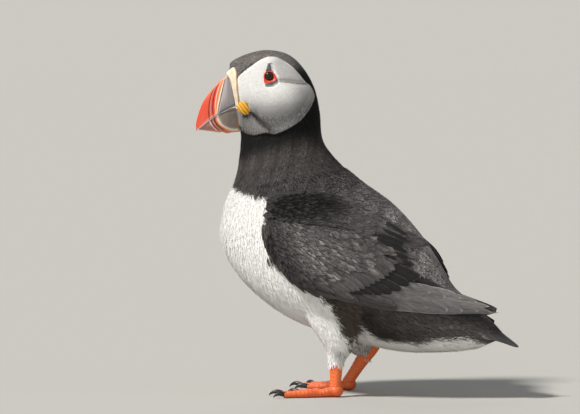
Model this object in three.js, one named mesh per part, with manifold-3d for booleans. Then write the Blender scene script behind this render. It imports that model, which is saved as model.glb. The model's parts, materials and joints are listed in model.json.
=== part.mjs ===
// Atlantic puffin, life size, standing at rest with its wings folded and its head turned to its left.
// Millimetres, +Z up. The bill points to -Y and the bird's left side is at +X.
// The body is one loft along the spine, parted into head, neck, trunk and rump by thin flat cuts; wings, tail,
// legs, feet, claws, bill, eyes and the small horny plates of the face are solids of their own, a small gap apart.

import * as THREE from 'three';
import { mergeVertices } from 'three/addons/utils/BufferGeometryUtils.js';
import Module from 'manifold-3d';

const wasm = await Module();
wasm.setup();

// ---------------------------------------------------------------- driving dimensions

const GAP = 0.35; // clearance between neighbouring pieces
const HEAD_TURN = THREE.MathUtils.degToRad(16); // the head looks a little to the bird's left
const NECK_AXIS_Y = -36.4; // the head turns about the upright line through this place
const TURN_STARTS = 6; // body stations between which the turn fades out down the neck
const TURN_ENDS = 10;
const BODY_SIDES = 20;
const RINGS_PER_STATION = 2;

// Stations of the body, from the root of the bill to the tip of the tail coverts. Each is a closed ring across the
// bird: where it meets the back and the belly (y, z), its half width, and how full its flanks are (1 is an ellipse,
// less is squarer).
const BODY = [
  { at: 'bill root', back: [-70.6, 210.2], belly: [-63.2, 168.6], half: 8.6, full: 0.8 },
  { at: 'forehead', back: [-68.0, 214.6], belly: [-63.0, 166.6], half: 11.8, full: 0.86 },
  { at: 'fore crown', back: [-57.0, 219.7], belly: [-62.8, 164.4], half: 15.6, full: 0.9 },
  { at: 'crown', back: [-45.0, 221.8], belly: [-62.6, 162.4], half: 18.4, full: 0.93 },
  { at: 'hind crown', back: [-32.0, 219.2], belly: [-62.6, 160.4], half: 20.3, full: 0.95 },
  { at: 'hind head', back: [-22.3, 210.8], belly: [-62.7, 158.4], half: 21.5, full: 0.97 },
  { at: 'upper nape', back: [-14.7, 197.6], belly: [-62.8, 156.0], half: 22.0, full: 0.98 },
  { at: 'nape', back: [-11.1, 181.9], belly: [-63.4, 152.2], half: 22.2, full: 1.0 },
  { at: 'neck', back: [-9.1, 163.8], belly: [-64.2, 146.0], half: 24.0, full: 1.0 },
  { at: 'shoulder', back: [-0.4, 151.4], belly: [-66.9, 135.5], half: 31.0, full: 1.0 },
  { at: 'mantle', back: [15.7, 137.2], belly: [-73.4, 120.0], half: 39.0, full: 1.0 },
  { at: 'upper back', back: [36.5, 122.6], belly: [-75.8, 100.8], half: 44.0, full: 0.97 },
  { at: 'middle back', back: [53.5, 104.8], belly: [-68.8, 83.0], half: 46.0, full: 0.95 },
  { at: 'lower back', back: [66.8, 86.0], belly: [-52.9, 64.9], half: 45.0, full: 0.95 },
  { at: 'rump', back: [77.3, 69.7], belly: [-29.7, 49.0], half: 40.0, full: 0.97 },
  { at: 'vent', back: [91.0, 58.6], belly: [3.3, 37.0], half: 32.0, full: 1.0 },
  { at: 'tail root', back: [101.3, 50.5], belly: [42.5, 28.6], half: 24.0, full: 1.0 },
  { at: 'tail coverts', back: [108.6, 43.4], belly: [76.0, 28.8], half: 16.0, full: 1.0 },
  { at: 'covert tips', back: [112.0, 39.4], belly: [94.5, 31.2], half: 8.0, full: 1.0 },
];
const HEAD_ENDS = 6.75; // body stations of the three cuts
const NECK_ENDS = 9.0;
const TRUNK_ENDS = 14.6;

// Stations of the bill, from its root to its tip: culmen (y, z), underside (y, z) and half width, head not turned.
const BILL = [
  { top: [-70.2, 209.4], under: [-63.8, 168.5], half: 8.3 },
  { top: [-74.2, 205.2], under: [-69.5, 168.1], half: 7.8 },
  { top: [-79.6, 199.8], under: [-75.6, 168.3], half: 6.8 },
  { top: [-84.9, 193.4], under: [-81.5, 168.9], half: 5.6 },
  { top: [-88.6, 186.6], under: [-86.2, 169.7], half: 4.3 },
  { top: [-90.8, 179.4], under: [-89.4, 170.2], half: 3.0 },
  { top: [-91.6, 171.8], under: [-91.2, 169.8], half: 1.2 },
];
const MOUTH_LINE = [[-50, 189.6], [-64, 186.4], [-73.9, 182.7], [-79.2, 179.6], [-84.8, 175.6], [-89.2, 171.6], [-95, 164.5]];
const CERE_LINE = [[-77, 214], [-73, 208], [-70.6, 203], [-69.6, 197.5], [-68.9, 192], [-67.4, 187.4], [-62, 181]];

const EYE = { y: -43.9, z: 205.0, radius: 5.0, sunk: 3.1 };
const ROSETTE = { y: -59.8, z: 184.4, long: 4.7, wide: 3.7, thick: 2.4, tilt: -0.85 };
const UPPER_PLATE = [[-45.9, 208.8], [-42.8, 209.1], [-43.9, 213.1]];
const LOWER_PLATE = [[-47.5, 198.4], [-46.5, 200.6], [-42.7, 200.5], [-39.5, 202.8], [-39.1, 201.2], [-43.1, 198.4]];
const PLATE_SINKS = 1.2;
const PLATE_STANDS = 0.9;

// Stations of the left wing, from the wrist to the tip: lower edge (y, z), upper edge (y, z), how far its outer face
// stands out from the bird's middle plane at the lower edge, midway and at the upper edge, and its thickness.
const WING = [
  { low: [-37.6, 104.5], high: [-36.9, 110.5], out: [42.0, 42.3, 42.0], thick: 2.0 },
  { low: [-35.5, 96.5], high: [-31.0, 117.5], out: [43.4, 45.5, 43.4], thick: 6.0 },
  { low: [-27.5, 86.5], high: [-17.5, 122.5], out: [44.8, 48.3, 43.0], thick: 8.0 },
  { low: [-14.0, 72.5], high: [2.0, 122.5], out: [45.2, 49.8, 40.5], thick: 8.5 },
  { low: [4.0, 65.0], high: [24.0, 114.0], out: [45.2, 49.0, 36.5], thick: 8.0 },
  { low: [25.0, 61.5], high: [42.5, 100.0], out: [43.4, 45.5, 32.5], thick: 7.0 },
  { low: [46.5, 56.5], high: [58.5, 84.5], out: [38.6, 38.8, 27.5], thick: 6.0 },
  { low: [66.5, 54.3], high: [74.0, 72.8], out: [32.0, 30.5, 20.5], thick: 5.0 },
  { low: [87.0, 53.2], high: [91.5, 65.5], out: [22.5, 21.0, 14.5], thick: 4.0 },
  { low: [101.0, 53.3], high: [103.5, 60.8], out: [15.8, 15.0, 11.8], thick: 3.0 },
  { low: [109.8, 55.6], high: [110.0, 57.4], out: [11.5, 11.3, 11.0], thick: 1.6 },
];
const WING_SIDES = 12;
const HAND_STARTS_Y = 64; // the primaries, beyond this place, are a piece of their own
const RIGHT_TIP_DROPS = 9; // the right wing's tip hangs lower, tucked beside the tail,
const RIGHT_INNER_RISES = 7; // and its innermost feathers stand up a little over the back

const TAIL = {
  root: [88, 58], // y, z of the middle of its root
  tip: [121.5, 31.6], // and of its tip
  rootHalf: 9,
  spreadHalf: 18,
  rootArch: 9, // how much lower the outer feathers lie than the middle ones, at the root and at the tip
  tipArch: 2.5,
  rounding: 12, // how much shorter they are
  thick: 2.4,
};

// The left leg first. Places are (x, y, z).
const LEGS = [
  { side: 'left', ankle: [21.5, 7.0, 30], toes: [22.5, 6.5, 6.2], splay: 0.16 },
  { side: 'right', ankle: [-20.5, 19.3, 30], toes: [-22.0, 3.3, 6.2], splay: -0.2 },
];
const THIGH_RINGS = {
  // height above the ankle, shift forwards, half breadth, half depth; the right leg stands further back
  left: [
    { up: 30, forward: 8, wide: 15, deep: 24 },
    { up: 19, forward: 3, wide: 14, deep: 18 },
    { up: 9, forward: -0.4, wide: 11, deep: 13 },
    { up: 0, forward: -1.5, wide: 7.8, deep: 8.6 },
    { up: -4.5, forward: -0.5, wide: 5.6, deep: 6.5 },
  ],
  right: [
    { up: 30, forward: 16, wide: 15, deep: 25 },
    { up: 19, forward: 12, wide: 14, deep: 19 },
    { up: 9, forward: 10, wide: 11.5, deep: 14 },
    { up: 0, forward: 6.5, wide: 9, deep: 11 },
    { up: -4.5, forward: 5, wide: 6.2, deep: 8 },
  ],
};
const TOES = [
  { toe: 'inner', angle: -0.36, length: 27, claw: 8.5 },
  { toe: 'middle', angle: -0.02, length: 35, claw: 8.0 },
  { toe: 'outer', angle: 0.33, length: 33.5, claw: 7.0 },
];
const TOE_ROOT_RADIUS = 2.9;
const TOE_TIP_RADIUS = 2.1;
const WEB_THICK = 1.1;
const FLOOR_CUT = 60; // size of the block that planes the soles flat

const SKIN = { black: 0x2a2727, white: 0xe9e7e2, orange: 0xd9592a, horn: 0x7c767c, red: 0xd8411f };

// ---------------------------------------------------------------- geometry helpers

// Catmull-Rom value of a list of equally spaced numbers at place t.
function along(values, t) {
  const points = values.map((v, i) => new THREE.Vector3(i, v, 0));
  return new THREE.CatmullRomCurve3(points, false, 'catmullrom', 0.5).getPoint(t / (values.length - 1)).y;
}

// The numbers of a list of stations at place t, each number on a curve of its own.
function stationAt(stations, t) {
  const found = {};
  for (const key of Object.keys(stations[0])) {
    const first = stations[0][key];
    if (typeof first === 'number') found[key] = along(stations.map((s) => s[key]), t);
    if (Array.isArray(first)) found[key] = first.map((_, i) => along(stations.map((s) => s[key][i]), t));
  }
  return found;
}

// A closed surface through rings of points: pointAt(ring number, angle) is called for each. Both ends get a cap.
function loft(rings, sides, pointAt) {
  const positions = [];
  const indices = [];
  for (let r = 0; r < rings; r++) {
    for (let s = 0; s < sides; s++) positions.push(...pointAt(r, (s / sides) * 2 * Math.PI).toArray());
  }
  for (let r = 0; r < rings - 1; r++) {
    for (let s = 0; s < sides; s++) {
      const a = r * sides + s;
      const b = r * sides + ((s + 1) % sides);
      indices.push(a, b, a + sides, b, b + sides, a + sides);
    }
  }
  for (const ring of [0, rings - 1]) {
    const centre = new THREE.Vector3();
    for (let s = 0; s < sides; s++) centre.add(new THREE.Vector3().fromArray(positions, (ring * sides + s) * 3));
    const middle = positions.length / 3;
    positions.push(...centre.divideScalar(sides).toArray());
    for (let s = 0; s < sides; s++) {
      const a = ring * sides + s;
      const b = ring * sides + ((s + 1) % sides);
      indices.push(...(ring === 0 ? [middle, b, a] : [middle, a, b]));
    }
  }
  const geometry = new THREE.BufferGeometry();
  geometry.setAttribute('position', new THREE.Float32BufferAttribute(positions, 3));
  geometry.setIndex(indices);
  return geometry;
}

// A closed geometry as a solid. One that is inside out is turned round.
function solidOf(geometry) {
  const bare = geometry.clone();
  bare.deleteAttribute('normal');
  bare.deleteAttribute('uv');
  const merged = mergeVertices(bare, 1e-4);
  const vertProperties = merged.attributes.position.array;
  const triVerts = new Uint32Array(merged.index.array);
  const made = new wasm.Manifold(new wasm.Mesh({ numProp: 3, vertProperties, triVerts }));
  if (made.volume() > 0) return made;
  triVerts.reverse();
  return new wasm.Manifold(new wasm.Mesh({ numProp: 3, vertProperties, triVerts }));
}

function geometryOf(solid) {
  const { vertProperties, triVerts, numProp } = solid.getMesh();
  const count = vertProperties.length / numProp;
  const positions = new Float32Array(count * 3);
  for (let i = 0; i < count; i++) positions.set(vertProperties.subarray(i * numProp, i * numProp + 3), i * 3);
  const geometry = new THREE.BufferGeometry();
  geometry.setAttribute('position', new THREE.BufferAttribute(positions, 3));
  geometry.setIndex(new THREE.BufferAttribute(triVerts, 1));
  return geometry;
}

// The solid with every face moved out by about the gap, to cut a neighbour clear of it. A vertex on a sharp edge
// moves further than one on a flat place, so that both faces beside it clear the gap.
function grown(solid) {
  const geometry = geometryOf(solid);
  geometry.computeVertexNormals();
  const { position, normal } = geometry.attributes;
  const index = geometry.index.array;
  const least = new Float32Array(position.count).fill(1);
  const corners = [new THREE.Vector3(), new THREE.Vector3(), new THREE.Vector3()];
  const facing = new THREE.Vector3();
  const direction = new THREE.Vector3();
  for (let i = 0; i < index.length; i += 3) {
    corners.forEach((corner, k) => corner.fromBufferAttribute(position, index[i + k]));
    new THREE.Triangle(...corners).getNormal(facing);
    for (let k = 0; k < 3; k++) {
      const vertex = index[i + k];
      least[vertex] = Math.min(least[vertex], facing.dot(direction.fromBufferAttribute(normal, vertex)));
    }
  }
  const moved = new THREE.Vector3();
  for (let i = 0; i < position.count; i++) {
    direction.fromBufferAttribute(normal, i);
    moved.fromBufferAttribute(position, i).addScaledVector(direction, GAP / Math.max(least[i], 0.4));
    position.setXYZ(i, ...moved.toArray());
  }
  return solidOf(geometry);
}

// The largest body of a solid, without the crumbs that a cut can leave.
function largest(solid) {
  return solid.decompose().sort((a, b) => b.volume() - a.volume())[0];
}

const without = (solid, ...others) => others.reduce((rest, other) => rest.subtract(grown(other)), solid);

// A wall across the whole bird, of the gap's thickness, along a line of (y, z) points.
function wall(line) {
  const path = new THREE.CatmullRomCurve3(line.map(([y, z]) => new THREE.Vector3(0, y, z)), false, 'catmullrom', 0.5);
  const steps = 9;
  return loft(steps + 1, 4, (r, angle) => {
    const point = path.getPoint(r / steps);
    const tangent = path.getTangent(r / steps);
    const sideways = Math.cos(angle + Math.PI / 4) > 0 ? 1 : -1;
    const upwards = Math.sin(angle + Math.PI / 4) > 0 ? 1 : -1;
    return point.add(new THREE.Vector3(sideways * 60, -tangent.z * upwards * (GAP / 2), tangent.y * upwards * (GAP / 2)));
  });
}

// ---------------------------------------------------------------- body

// How far the head's turn reaches at a station of the body.
function turnAt(t) {
  return HEAD_TURN * (1 - THREE.MathUtils.smoothstep(t, TURN_STARTS, TURN_ENDS));
}

function turned(point, angle) {
  point.y -= NECK_AXIS_Y;
  point.applyAxisAngle(new THREE.Vector3(0, 0, 1), angle);
  point.y += NECK_AXIS_Y;
  return point;
}

// A point of the body at station t, angle 0 on the back and pi on the belly, before the head's turn.
function bodyPoint(t, angle) {
  const s = stationAt(BODY, t);
  const c = (1 + Math.cos(angle)) / 2;
  const sine = Math.sin(angle);
  return new THREE.Vector3(
    Math.sign(sine) * s.half * Math.abs(sine) ** s.full,
    THREE.MathUtils.lerp(s.belly[0], s.back[0], c),
    THREE.MathUtils.lerp(s.belly[1], s.back[1], c),
  );
}

function wholeBody() {
  const rings = (BODY.length - 1) * RINGS_PER_STATION + 1;
  const at = (r) => r / RINGS_PER_STATION;
  return solidOf(loft(rings, BODY_SIDES, (r, angle) => turned(bodyPoint(at(r), angle), turnAt(at(r)))));
}

// The half width of the head where (y, z) lies, found on a fine net of its left side.
function headHalfWidth(y, z) {
  let nearest = Infinity;
  let found = 0;
  for (let t = 0; t <= 7; t += 0.04) {
    for (let angle = 0.04; angle < Math.PI; angle += 0.04) {
      const p = bodyPoint(t, angle);
      const distance = Math.hypot(p.y - y, p.z - z);
      if (distance < nearest) [nearest, found] = [distance, p.x];
    }
  }
  return found;
}

// A slab as thick as the gap in the plane of the body's ring at station t.
function cutAt(t) {
  const { back, belly } = stationAt(BODY, t);
  const slab = new THREE.BoxGeometry(200, 300, GAP);
  slab.rotateX(Math.atan2(back[1] - belly[1], back[0] - belly[0]));
  slab.translate(0, belly[0] - NECK_AXIS_Y, belly[1]);
  slab.rotateZ(turnAt(t));
  slab.translate(0, NECK_AXIS_Y, 0);
  return solidOf(slab);
}

// ---------------------------------------------------------------- head furniture

function billWhole() {
  const rings = (BILL.length - 1) * 2 + 1;
  return solidOf(
    loft(rings, 14, (r, angle) => {
      const s = stationAt(BILL, r / 2);
      const c = (1 + Math.cos(angle)) / 2;
      const sine = Math.sin(angle);
      const y = THREE.MathUtils.lerp(s.under[0], s.top[0], c) - (r === 0 ? GAP : 0);
      return new THREE.Vector3(Math.sign(sine) * s.half * Math.abs(sine) ** 0.72, y, THREE.MathUtils.lerp(s.under[1], s.top[1], c));
    }),
  );
}

function turnedWithHead(solid) {
  const geometry = geometryOf(solid);
  geometry.translate(0, -NECK_AXIS_Y, 0).rotateZ(HEAD_TURN).translate(0, NECK_AXIS_Y, 0);
  return solidOf(geometry);
}

function ball(x, y, z, radii, tilt = 0) {
  const geometry = new THREE.SphereGeometry(1, 10, 7);
  geometry.scale(...radii).rotateX(tilt).translate(x, y, z);
  return solidOf(geometry);
}

// A small plate of horn, lying in the skin beside the eye.
function plate(outline, sign) {
  const shape = new THREE.Shape(outline.map(([y, z]) => new THREE.Vector2(y, z)));
  const centre = outline.reduce((sum, [y, z]) => [sum[0] + y / outline.length, sum[1] + z / outline.length], [0, 0]);
  const surface = headHalfWidth(...centre);
  const geometry = new THREE.ExtrudeGeometry(shape, { depth: PLATE_SINKS + PLATE_STANDS, bevelEnabled: false });
  geometry.rotateY(Math.PI / 2).rotateX(Math.PI / 2);
  geometry.translate(sign > 0 ? surface - PLATE_SINKS : -surface - PLATE_STANDS, 0, 0);
  return solidOf(geometry);
}

function headPieces() {
  const bill = billWhole();
  const [upper, lower] = bill
    .subtract(solidOf(wall(MOUTH_LINE)))
    .decompose()
    .filter((part) => part.volume() > 1)
    .sort((a, b) => b.boundingBox().max[2] - a.boundingBox().max[2]);
  const [horn, cere] = upper
    .subtract(solidOf(wall(CERE_LINE)))
    .decompose()
    .filter((part) => part.volume() > 1)
    .sort((a, b) => a.boundingBox().min[1] - b.boundingBox().min[1]);
  const pieces = { upper_bill: horn, cere, lower_bill: lower };
  for (const [side, sign] of [['left', 1], ['right', -1]]) {
    const eyeX = sign * (headHalfWidth(EYE.y, EYE.z) - EYE.sunk);
    pieces['eye_' + side] = ball(eyeX, EYE.y, EYE.z, [EYE.radius, EYE.radius, EYE.radius]);
    const rosetteX = sign * (headHalfWidth(ROSETTE.y, ROSETTE.z) + 0.2);
    pieces['rosette_' + side] = ball(rosetteX, ROSETTE.y, ROSETTE.z, [ROSETTE.thick, ROSETTE.long, ROSETTE.wide], ROSETTE.tilt);
    pieces['brow_plate_' + side] = plate(UPPER_PLATE, sign);
    pieces['lid_plate_' + side] = plate(LOWER_PLATE, sign);
  }
  for (const name of Object.keys(pieces)) pieces[name] = turnedWithHead(pieces[name]);
  const sockets = Object.values(pieces).map(grown);
  for (const side of ['left', 'right']) {
    const rosette = pieces['rosette_' + side];
    for (const name of ['upper_bill', 'cere', 'lower_bill']) pieces[name] = largest(without(pieces[name], rosette));
    for (const name of ['brow_plate_', 'lid_plate_']) pieces[name + side] = largest(without(pieces[name + side], pieces['eye_' + side]));
  }
  return { pieces, sockets };
}

// ---------------------------------------------------------------- wings and tail

// The wing of one side, made bigger all round by extra when it serves to cut the body clear of it.
function wing(sign, extra = 0) {
  const rings = (WING.length - 1) * 2 + 1;
  return solidOf(
    loft(rings, WING_SIDES, (r, angle) => {
      const s = stationAt(WING, r / 2);
      const chord = Math.hypot(s.high[0] - s.low[0], s.high[1] - s.low[1]);
      const across = 0.5 - Math.cos(angle) * (0.5 + (1.5 * extra) / chord); // 0 at the lower edge, 1 at the upper
      const [lower, midway, upper] = s.out;
      const back = 1 - across;
      const outside = lower * back * (back - across) + 4 * midway * across * back + upper * across * (across - back);
      const lean = (lower * (4 * across - 3) + 4 * midway * (1 - 2 * across) + upper * (4 * across - 1)) / chord;
      const clear = 1.5 * extra * Math.hypot(1, lean);
      const y = THREE.MathUtils.lerp(s.low[0], s.high[0], across);
      const z = THREE.MathUtils.lerp(s.low[1], s.high[1], across);
      const end = r === 0 ? -extra : r === rings - 1 ? extra : 0;
      const droop = sign < 0 ? RIGHT_TIP_DROPS * THREE.MathUtils.smoothstep(y, 50, 112) : 0;
      const rise = sign < 0 ? RIGHT_INNER_RISES * across ** 2 * Math.exp(-(((y - 54) / 17) ** 2)) : 0;
      return new THREE.Vector3(
        sign * (outside - s.thick / 2 + (s.thick / 2 + clear) * Math.sin(angle)),
        y + end - droop * 0.6 + rise * 0.8,
        z - droop + rise,
      );
    }),
  );
}

function handCut() {
  return solidOf(new THREE.BoxGeometry(200, GAP, 200).translate(0, HAND_STARTS_Y, 60));
}

// The tail, made bigger all round by extra when it serves to cut the rump clear of it. Across, it is arched like a
// roof tile; its thickness stands square to the arch.
function tailFan(extra = 0) {
  const rings = 7;
  const [rootY, rootZ] = TAIL.root;
  const [tipY, tipZ] = TAIL.tip;
  return solidOf(
    loft(rings, 18, (r, angle) => {
      const out = r / (rings - 1);
      const half = THREE.MathUtils.lerp(TAIL.rootHalf, TAIL.spreadHalf, out ** 0.8) * (r === rings - 1 ? 0.93 : 1);
      const across = Math.cos(angle) * (1 + (1.5 * extra) / half);
      const arch = THREE.MathUtils.lerp(TAIL.rootArch, TAIL.tipArch, out);
      const lean = Math.atan((2 * arch * across) / half);
      const reach = out - (TAIL.rounding * across ** 2 * out ** 2) / Math.hypot(tipY - rootY, tipZ - rootZ);
      const level = ((TAIL.thick / 2) * (1 - 0.45 * out) + 2 * extra) * Math.sin(angle);
      const end = r === 0 ? -extra : r === rings - 1 ? extra : 0;
      return new THREE.Vector3(
        across * half + Math.sin(lean) * level,
        THREE.MathUtils.lerp(rootY, tipY, reach) + end,
        THREE.MathUtils.lerp(rootZ, tipZ, reach) - arch * across ** 2 + Math.cos(lean) * level,
      );
    }),
  );
}

// ---------------------------------------------------------------- legs

function thigh(leg) {
  const [x, y, z] = leg.ankle;
  const stations = THIGH_RINGS[leg.side];
  const rings = (stations.length - 1) * 2 + 1;
  return solidOf(
    loft(rings, 14, (r, angle) => {
      const s = stationAt(stations, r / 2);
      return new THREE.Vector3(x + s.wide * Math.cos(angle), y - s.forward + s.deep * Math.sin(angle), z + s.up);
    }),
  );
}

// A round limb through points, each with its own half breadth and half depth.
function limb(points, sides = 8, ringsPerPoint = 2) {
  const curve = new THREE.CatmullRomCurve3(points.map((p) => new THREE.Vector3(...p.at)), false, 'catmullrom', 0.5);
  const rings = (points.length - 1) * ringsPerPoint + 1;
  const across = new THREE.Vector3();
  const upright = new THREE.Vector3();
  return solidOf(
    loft(rings, sides, (r, angle) => {
      const place = r / (rings - 1);
      const tangent = curve.getTangent(place);
      across.set(-tangent.y, tangent.x, 0);
      if (across.length() < 0.35 || points[0].steep) across.set(1, 0, 0);
      across.normalize();
      upright.crossVectors(tangent, across).normalize();
      const wide = along(points.map((p) => p.wide), place * (points.length - 1));
      const deep = along(points.map((p) => p.deep), place * (points.length - 1));
      return curve
        .getPoint(place)
        .addScaledVector(across, wide * Math.cos(angle))
        .addScaledVector(upright, deep * Math.sin(angle));
    }),
  );
}

function shank(leg) {
  const [ax, ay, az] = leg.ankle;
  const [tx, ty, tz] = leg.toes;
  const between = (k) => [ax + (tx - ax) * k, ay + (ty - ay) * k, az + (tz - az) * k];
  return limb([
    { at: between(-0.06), wide: 3.6, deep: 4.8, steep: true },
    { at: between(0.12), wide: 3.7, deep: 4.9 },
    { at: between(0.45), wide: 2.8, deep: 4.0 },
    { at: between(0.8), wide: 2.9, deep: 3.5 },
    { at: between(1.06), wide: 3.4, deep: 3.6 },
  ]);
}

// The way a toe points, on the floor: straight ahead is -Y.
function toeWay(leg, toe) {
  const sign = leg.side === 'left' ? 1 : -1;
  const angle = leg.splay + sign * toe.angle;
  return [Math.sin(angle), -Math.cos(angle)];
}

function toe(leg, { length, ...which }) {
  const [x, y] = leg.toes;
  const [dx, dy] = toeWay(leg, which);
  const at = (k, z) => [x + dx * length * k, y + dy * length * k, z];
  return limb([
    { at: at(-0.08, 4.6), wide: TOE_ROOT_RADIUS, deep: TOE_ROOT_RADIUS },
    { at: at(0.12, 3.2), wide: TOE_ROOT_RADIUS, deep: TOE_ROOT_RADIUS },
    { at: at(0.5, 1.7), wide: 2.5, deep: 2.3 },
    { at: at(1, 1.5), wide: TOE_TIP_RADIUS, deep: TOE_TIP_RADIUS },
  ], 8, 1);
}

function claw(leg, { length, claw: reach, ...which }) {
  const [x, y] = leg.toes;
  const [dx, dy] = toeWay(leg, which);
  const at = (out, z) => [x + dx * (length + out), y + dy * (length + out), z];
  return limb(
    [
      { at: at(-0.6, 2.1), wide: 1.5, deep: 1.7 },
      { at: at(reach * 0.4, 2.9), wide: 1.2, deep: 1.45 },
      { at: at(reach * 0.8, 2.0), wide: 0.8, deep: 0.9 },
      { at: at(reach, 0.9), wide: 0.35, deep: 0.4 },
    ],
    6,
    1,
  );
}

// The web between the three toes, its front edges drawn in between them.
function web(leg) {
  const [x, y] = leg.toes;
  const tips = TOES.map((t) => toeWay(leg, t).map((d, i) => [x, y][i] + d * (t.length - 1)));
  const shape = new THREE.Shape().moveTo(x, y + 2);
  shape.lineTo(...tips[0]);
  for (let i = 1; i < tips.length; i++) {
    const middle = [0, 1].map((k) => (tips[i - 1][k] + tips[i][k]) / 2);
    const drawnIn = [0, 1].map((k) => middle[k] + ([x, y][k] - middle[k]) * 0.22);
    shape.quadraticCurveTo(...drawnIn, ...tips[i]);
  }
  shape.lineTo(x, y + 2);
  return solidOf(new THREE.ExtrudeGeometry(shape, { depth: WEB_THICK, bevelEnabled: false, curveSegments: 5 }));
}

function foot(leg) {
  const joined = TOES.reduce((sum, t) => sum.add(toe(leg, t)), web(leg));
  const knuckle = ball(leg.toes[0], leg.toes[1] + 0.5, 4.0, [4.4, 4.6, 3.8]);
  const floor = new THREE.BoxGeometry(FLOOR_CUT * 2, FLOOR_CUT * 3, FLOOR_CUT).translate(leg.toes[0], 0, -FLOOR_CUT / 2);
  return joined.add(knuckle).subtract(solidOf(floor));
}

// ---------------------------------------------------------------- assembly

function allPieces() {
  const { pieces, sockets } = headPieces();
  const rear = tailFan();
  const wings = { left: wing(1), right: wing(-1) };
  let body = wholeBody();
  const whole = body;
  for (const cut of [HEAD_ENDS, NECK_ENDS, TRUNK_ENDS]) body = body.subtract(cutAt(cut));
  body = body.subtract(tailFan(GAP)).subtract(wing(1, GAP)).subtract(wing(-1, GAP));
  for (const socket of sockets) body = body.subtract(socket);
  const parts = body
    .decompose()
    .filter((part) => part.volume() > 50)
    .sort((a, b) => b.boundingBox().max[2] - a.boundingBox().max[2]);
  [pieces.head, pieces.neck, pieces.trunk, pieces.rump] = parts;
  pieces.tail = rear;
  for (const [side, sheet] of Object.entries(wings)) {
    const [arm, hand] = sheet
      .subtract(handCut())
      .decompose()
      .sort((a, b) => b.volume() - a.volume());
    pieces['wing_' + side] = arm;
    pieces['primaries_' + side] = largest(hand.subtract(tailFan(GAP)));
  }
  for (const leg of LEGS) {
    const { side } = leg;
    pieces['foot_' + side] = foot(leg);
    pieces['shank_' + side] = largest(without(shank(leg), pieces['foot_' + side]));
    const feathered = without(thigh(leg), whole, pieces['shank_' + side]);
    pieces['thigh_' + side] = largest(feathered.subtract(wing(side === 'left' ? 1 : -1, GAP)));
    for (const t of TOES) pieces['claw_' + t.toe + '_' + side] = largest(without(claw(leg, t), pieces['foot_' + side]));
  }
  return pieces;
}

function colourOf(name) {
  if (/^(shank|foot)/.test(name)) return SKIN.orange;
  if (/^(upper_bill|lower_bill|rosette)/.test(name)) return SKIN.red;
  if (/^(cere|brow|lid)/.test(name)) return SKIN.horn;
  if (/^(head|trunk|thigh)/.test(name)) return SKIN.white;
  return SKIN.black;
}

const puffin = new THREE.Group();
puffin.name = 'puffin';
for (const [name, solid] of Object.entries(allPieces())) {
  const material = new THREE.MeshStandardMaterial({ color: colourOf(name), roughness: 0.7, metalness: 0 });
  const mesh = new THREE.Mesh(geometryOf(solid), material);
  mesh.name = name;
  puffin.add(mesh);
}

// The origin is on the floor, under the middle of the bird's box.
const box = new THREE.Box3().setFromObject(puffin);
const middle = box.getCenter(new THREE.Vector3());
puffin.position.set(-middle.x, -middle.y, -box.min.z);

export default puffin;
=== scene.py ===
# %% [markdown]
# # An Atlantic puffin, life size
# The bird stands at rest with its wings folded and its head turned a little to its left. The frame gives
# the solids that stand on the floor and carry the weight. This file gives them a skin, a coat of real
# feathers, a horny bill, eyes, scaly legs and webbed feet. Every length below is in millimetres, in the
# sculptor's own measure, and is moved onto the frame and made metres only when a mesh is written.

# %% Open the frame
import json
from functools import partial

import bpy
import numpy as np
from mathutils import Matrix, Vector

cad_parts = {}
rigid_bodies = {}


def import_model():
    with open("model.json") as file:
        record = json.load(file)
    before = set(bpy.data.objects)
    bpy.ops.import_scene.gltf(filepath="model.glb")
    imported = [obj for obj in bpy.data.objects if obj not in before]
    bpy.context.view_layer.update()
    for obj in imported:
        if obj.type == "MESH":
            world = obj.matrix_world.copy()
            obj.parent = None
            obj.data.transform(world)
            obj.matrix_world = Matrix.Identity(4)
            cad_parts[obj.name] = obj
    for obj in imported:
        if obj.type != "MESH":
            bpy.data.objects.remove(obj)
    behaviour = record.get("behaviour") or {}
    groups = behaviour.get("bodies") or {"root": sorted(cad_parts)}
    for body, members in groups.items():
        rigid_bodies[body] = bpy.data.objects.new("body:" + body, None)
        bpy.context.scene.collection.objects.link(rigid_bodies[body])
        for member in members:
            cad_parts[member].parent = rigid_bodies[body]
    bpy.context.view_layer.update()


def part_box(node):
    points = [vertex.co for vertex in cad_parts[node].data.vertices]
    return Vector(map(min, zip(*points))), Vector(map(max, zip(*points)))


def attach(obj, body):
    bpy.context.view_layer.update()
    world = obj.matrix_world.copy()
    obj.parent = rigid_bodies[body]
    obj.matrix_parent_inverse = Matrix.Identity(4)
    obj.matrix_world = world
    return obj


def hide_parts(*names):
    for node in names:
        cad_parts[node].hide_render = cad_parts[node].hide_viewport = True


for leftover in list(bpy.data.objects):
    bpy.data.objects.remove(leftover)
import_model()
MILLIMETRE = 0.001
SIDES = {"left": 1, "right": -1}  # which way each side lies
rng = np.random.default_rng(7)


# %% [markdown]
# ## Smooth curves through a few places
# A living body has no straight edges, so everything here is drawn through a few chosen places with one
# smooth curve. A Catmull-Rom curve is the plainest that passes through its places. Working on whole arrays
# keeps it fast.


# %% Curves and small helpers
def smooth_curve(knots, t):
    """Value at place t of a curve through equally spaced knots.

    Between two knots it is the cubic that leaves and arrives with half the difference of the knots on
    either side.
    """
    knots = np.asarray(knots, float)
    ends = np.concatenate([2 * knots[:1] - knots[1:2], knots, 2 * knots[-1:] - knots[-2:-1]])
    t = np.clip(np.asarray(t, float), 0, len(knots) - 1)
    i = np.minimum(t.astype(int), len(knots) - 2)
    u = (t - i)[..., None]
    a, b, c, d = ends[i], ends[i + 1], ends[i + 2], ends[i + 3]
    return b + 0.5 * u * ((c - a) + u * ((2 * a - 5 * b + 4 * c - d) + u * (3 * b - a - 3 * c + d)))


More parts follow.
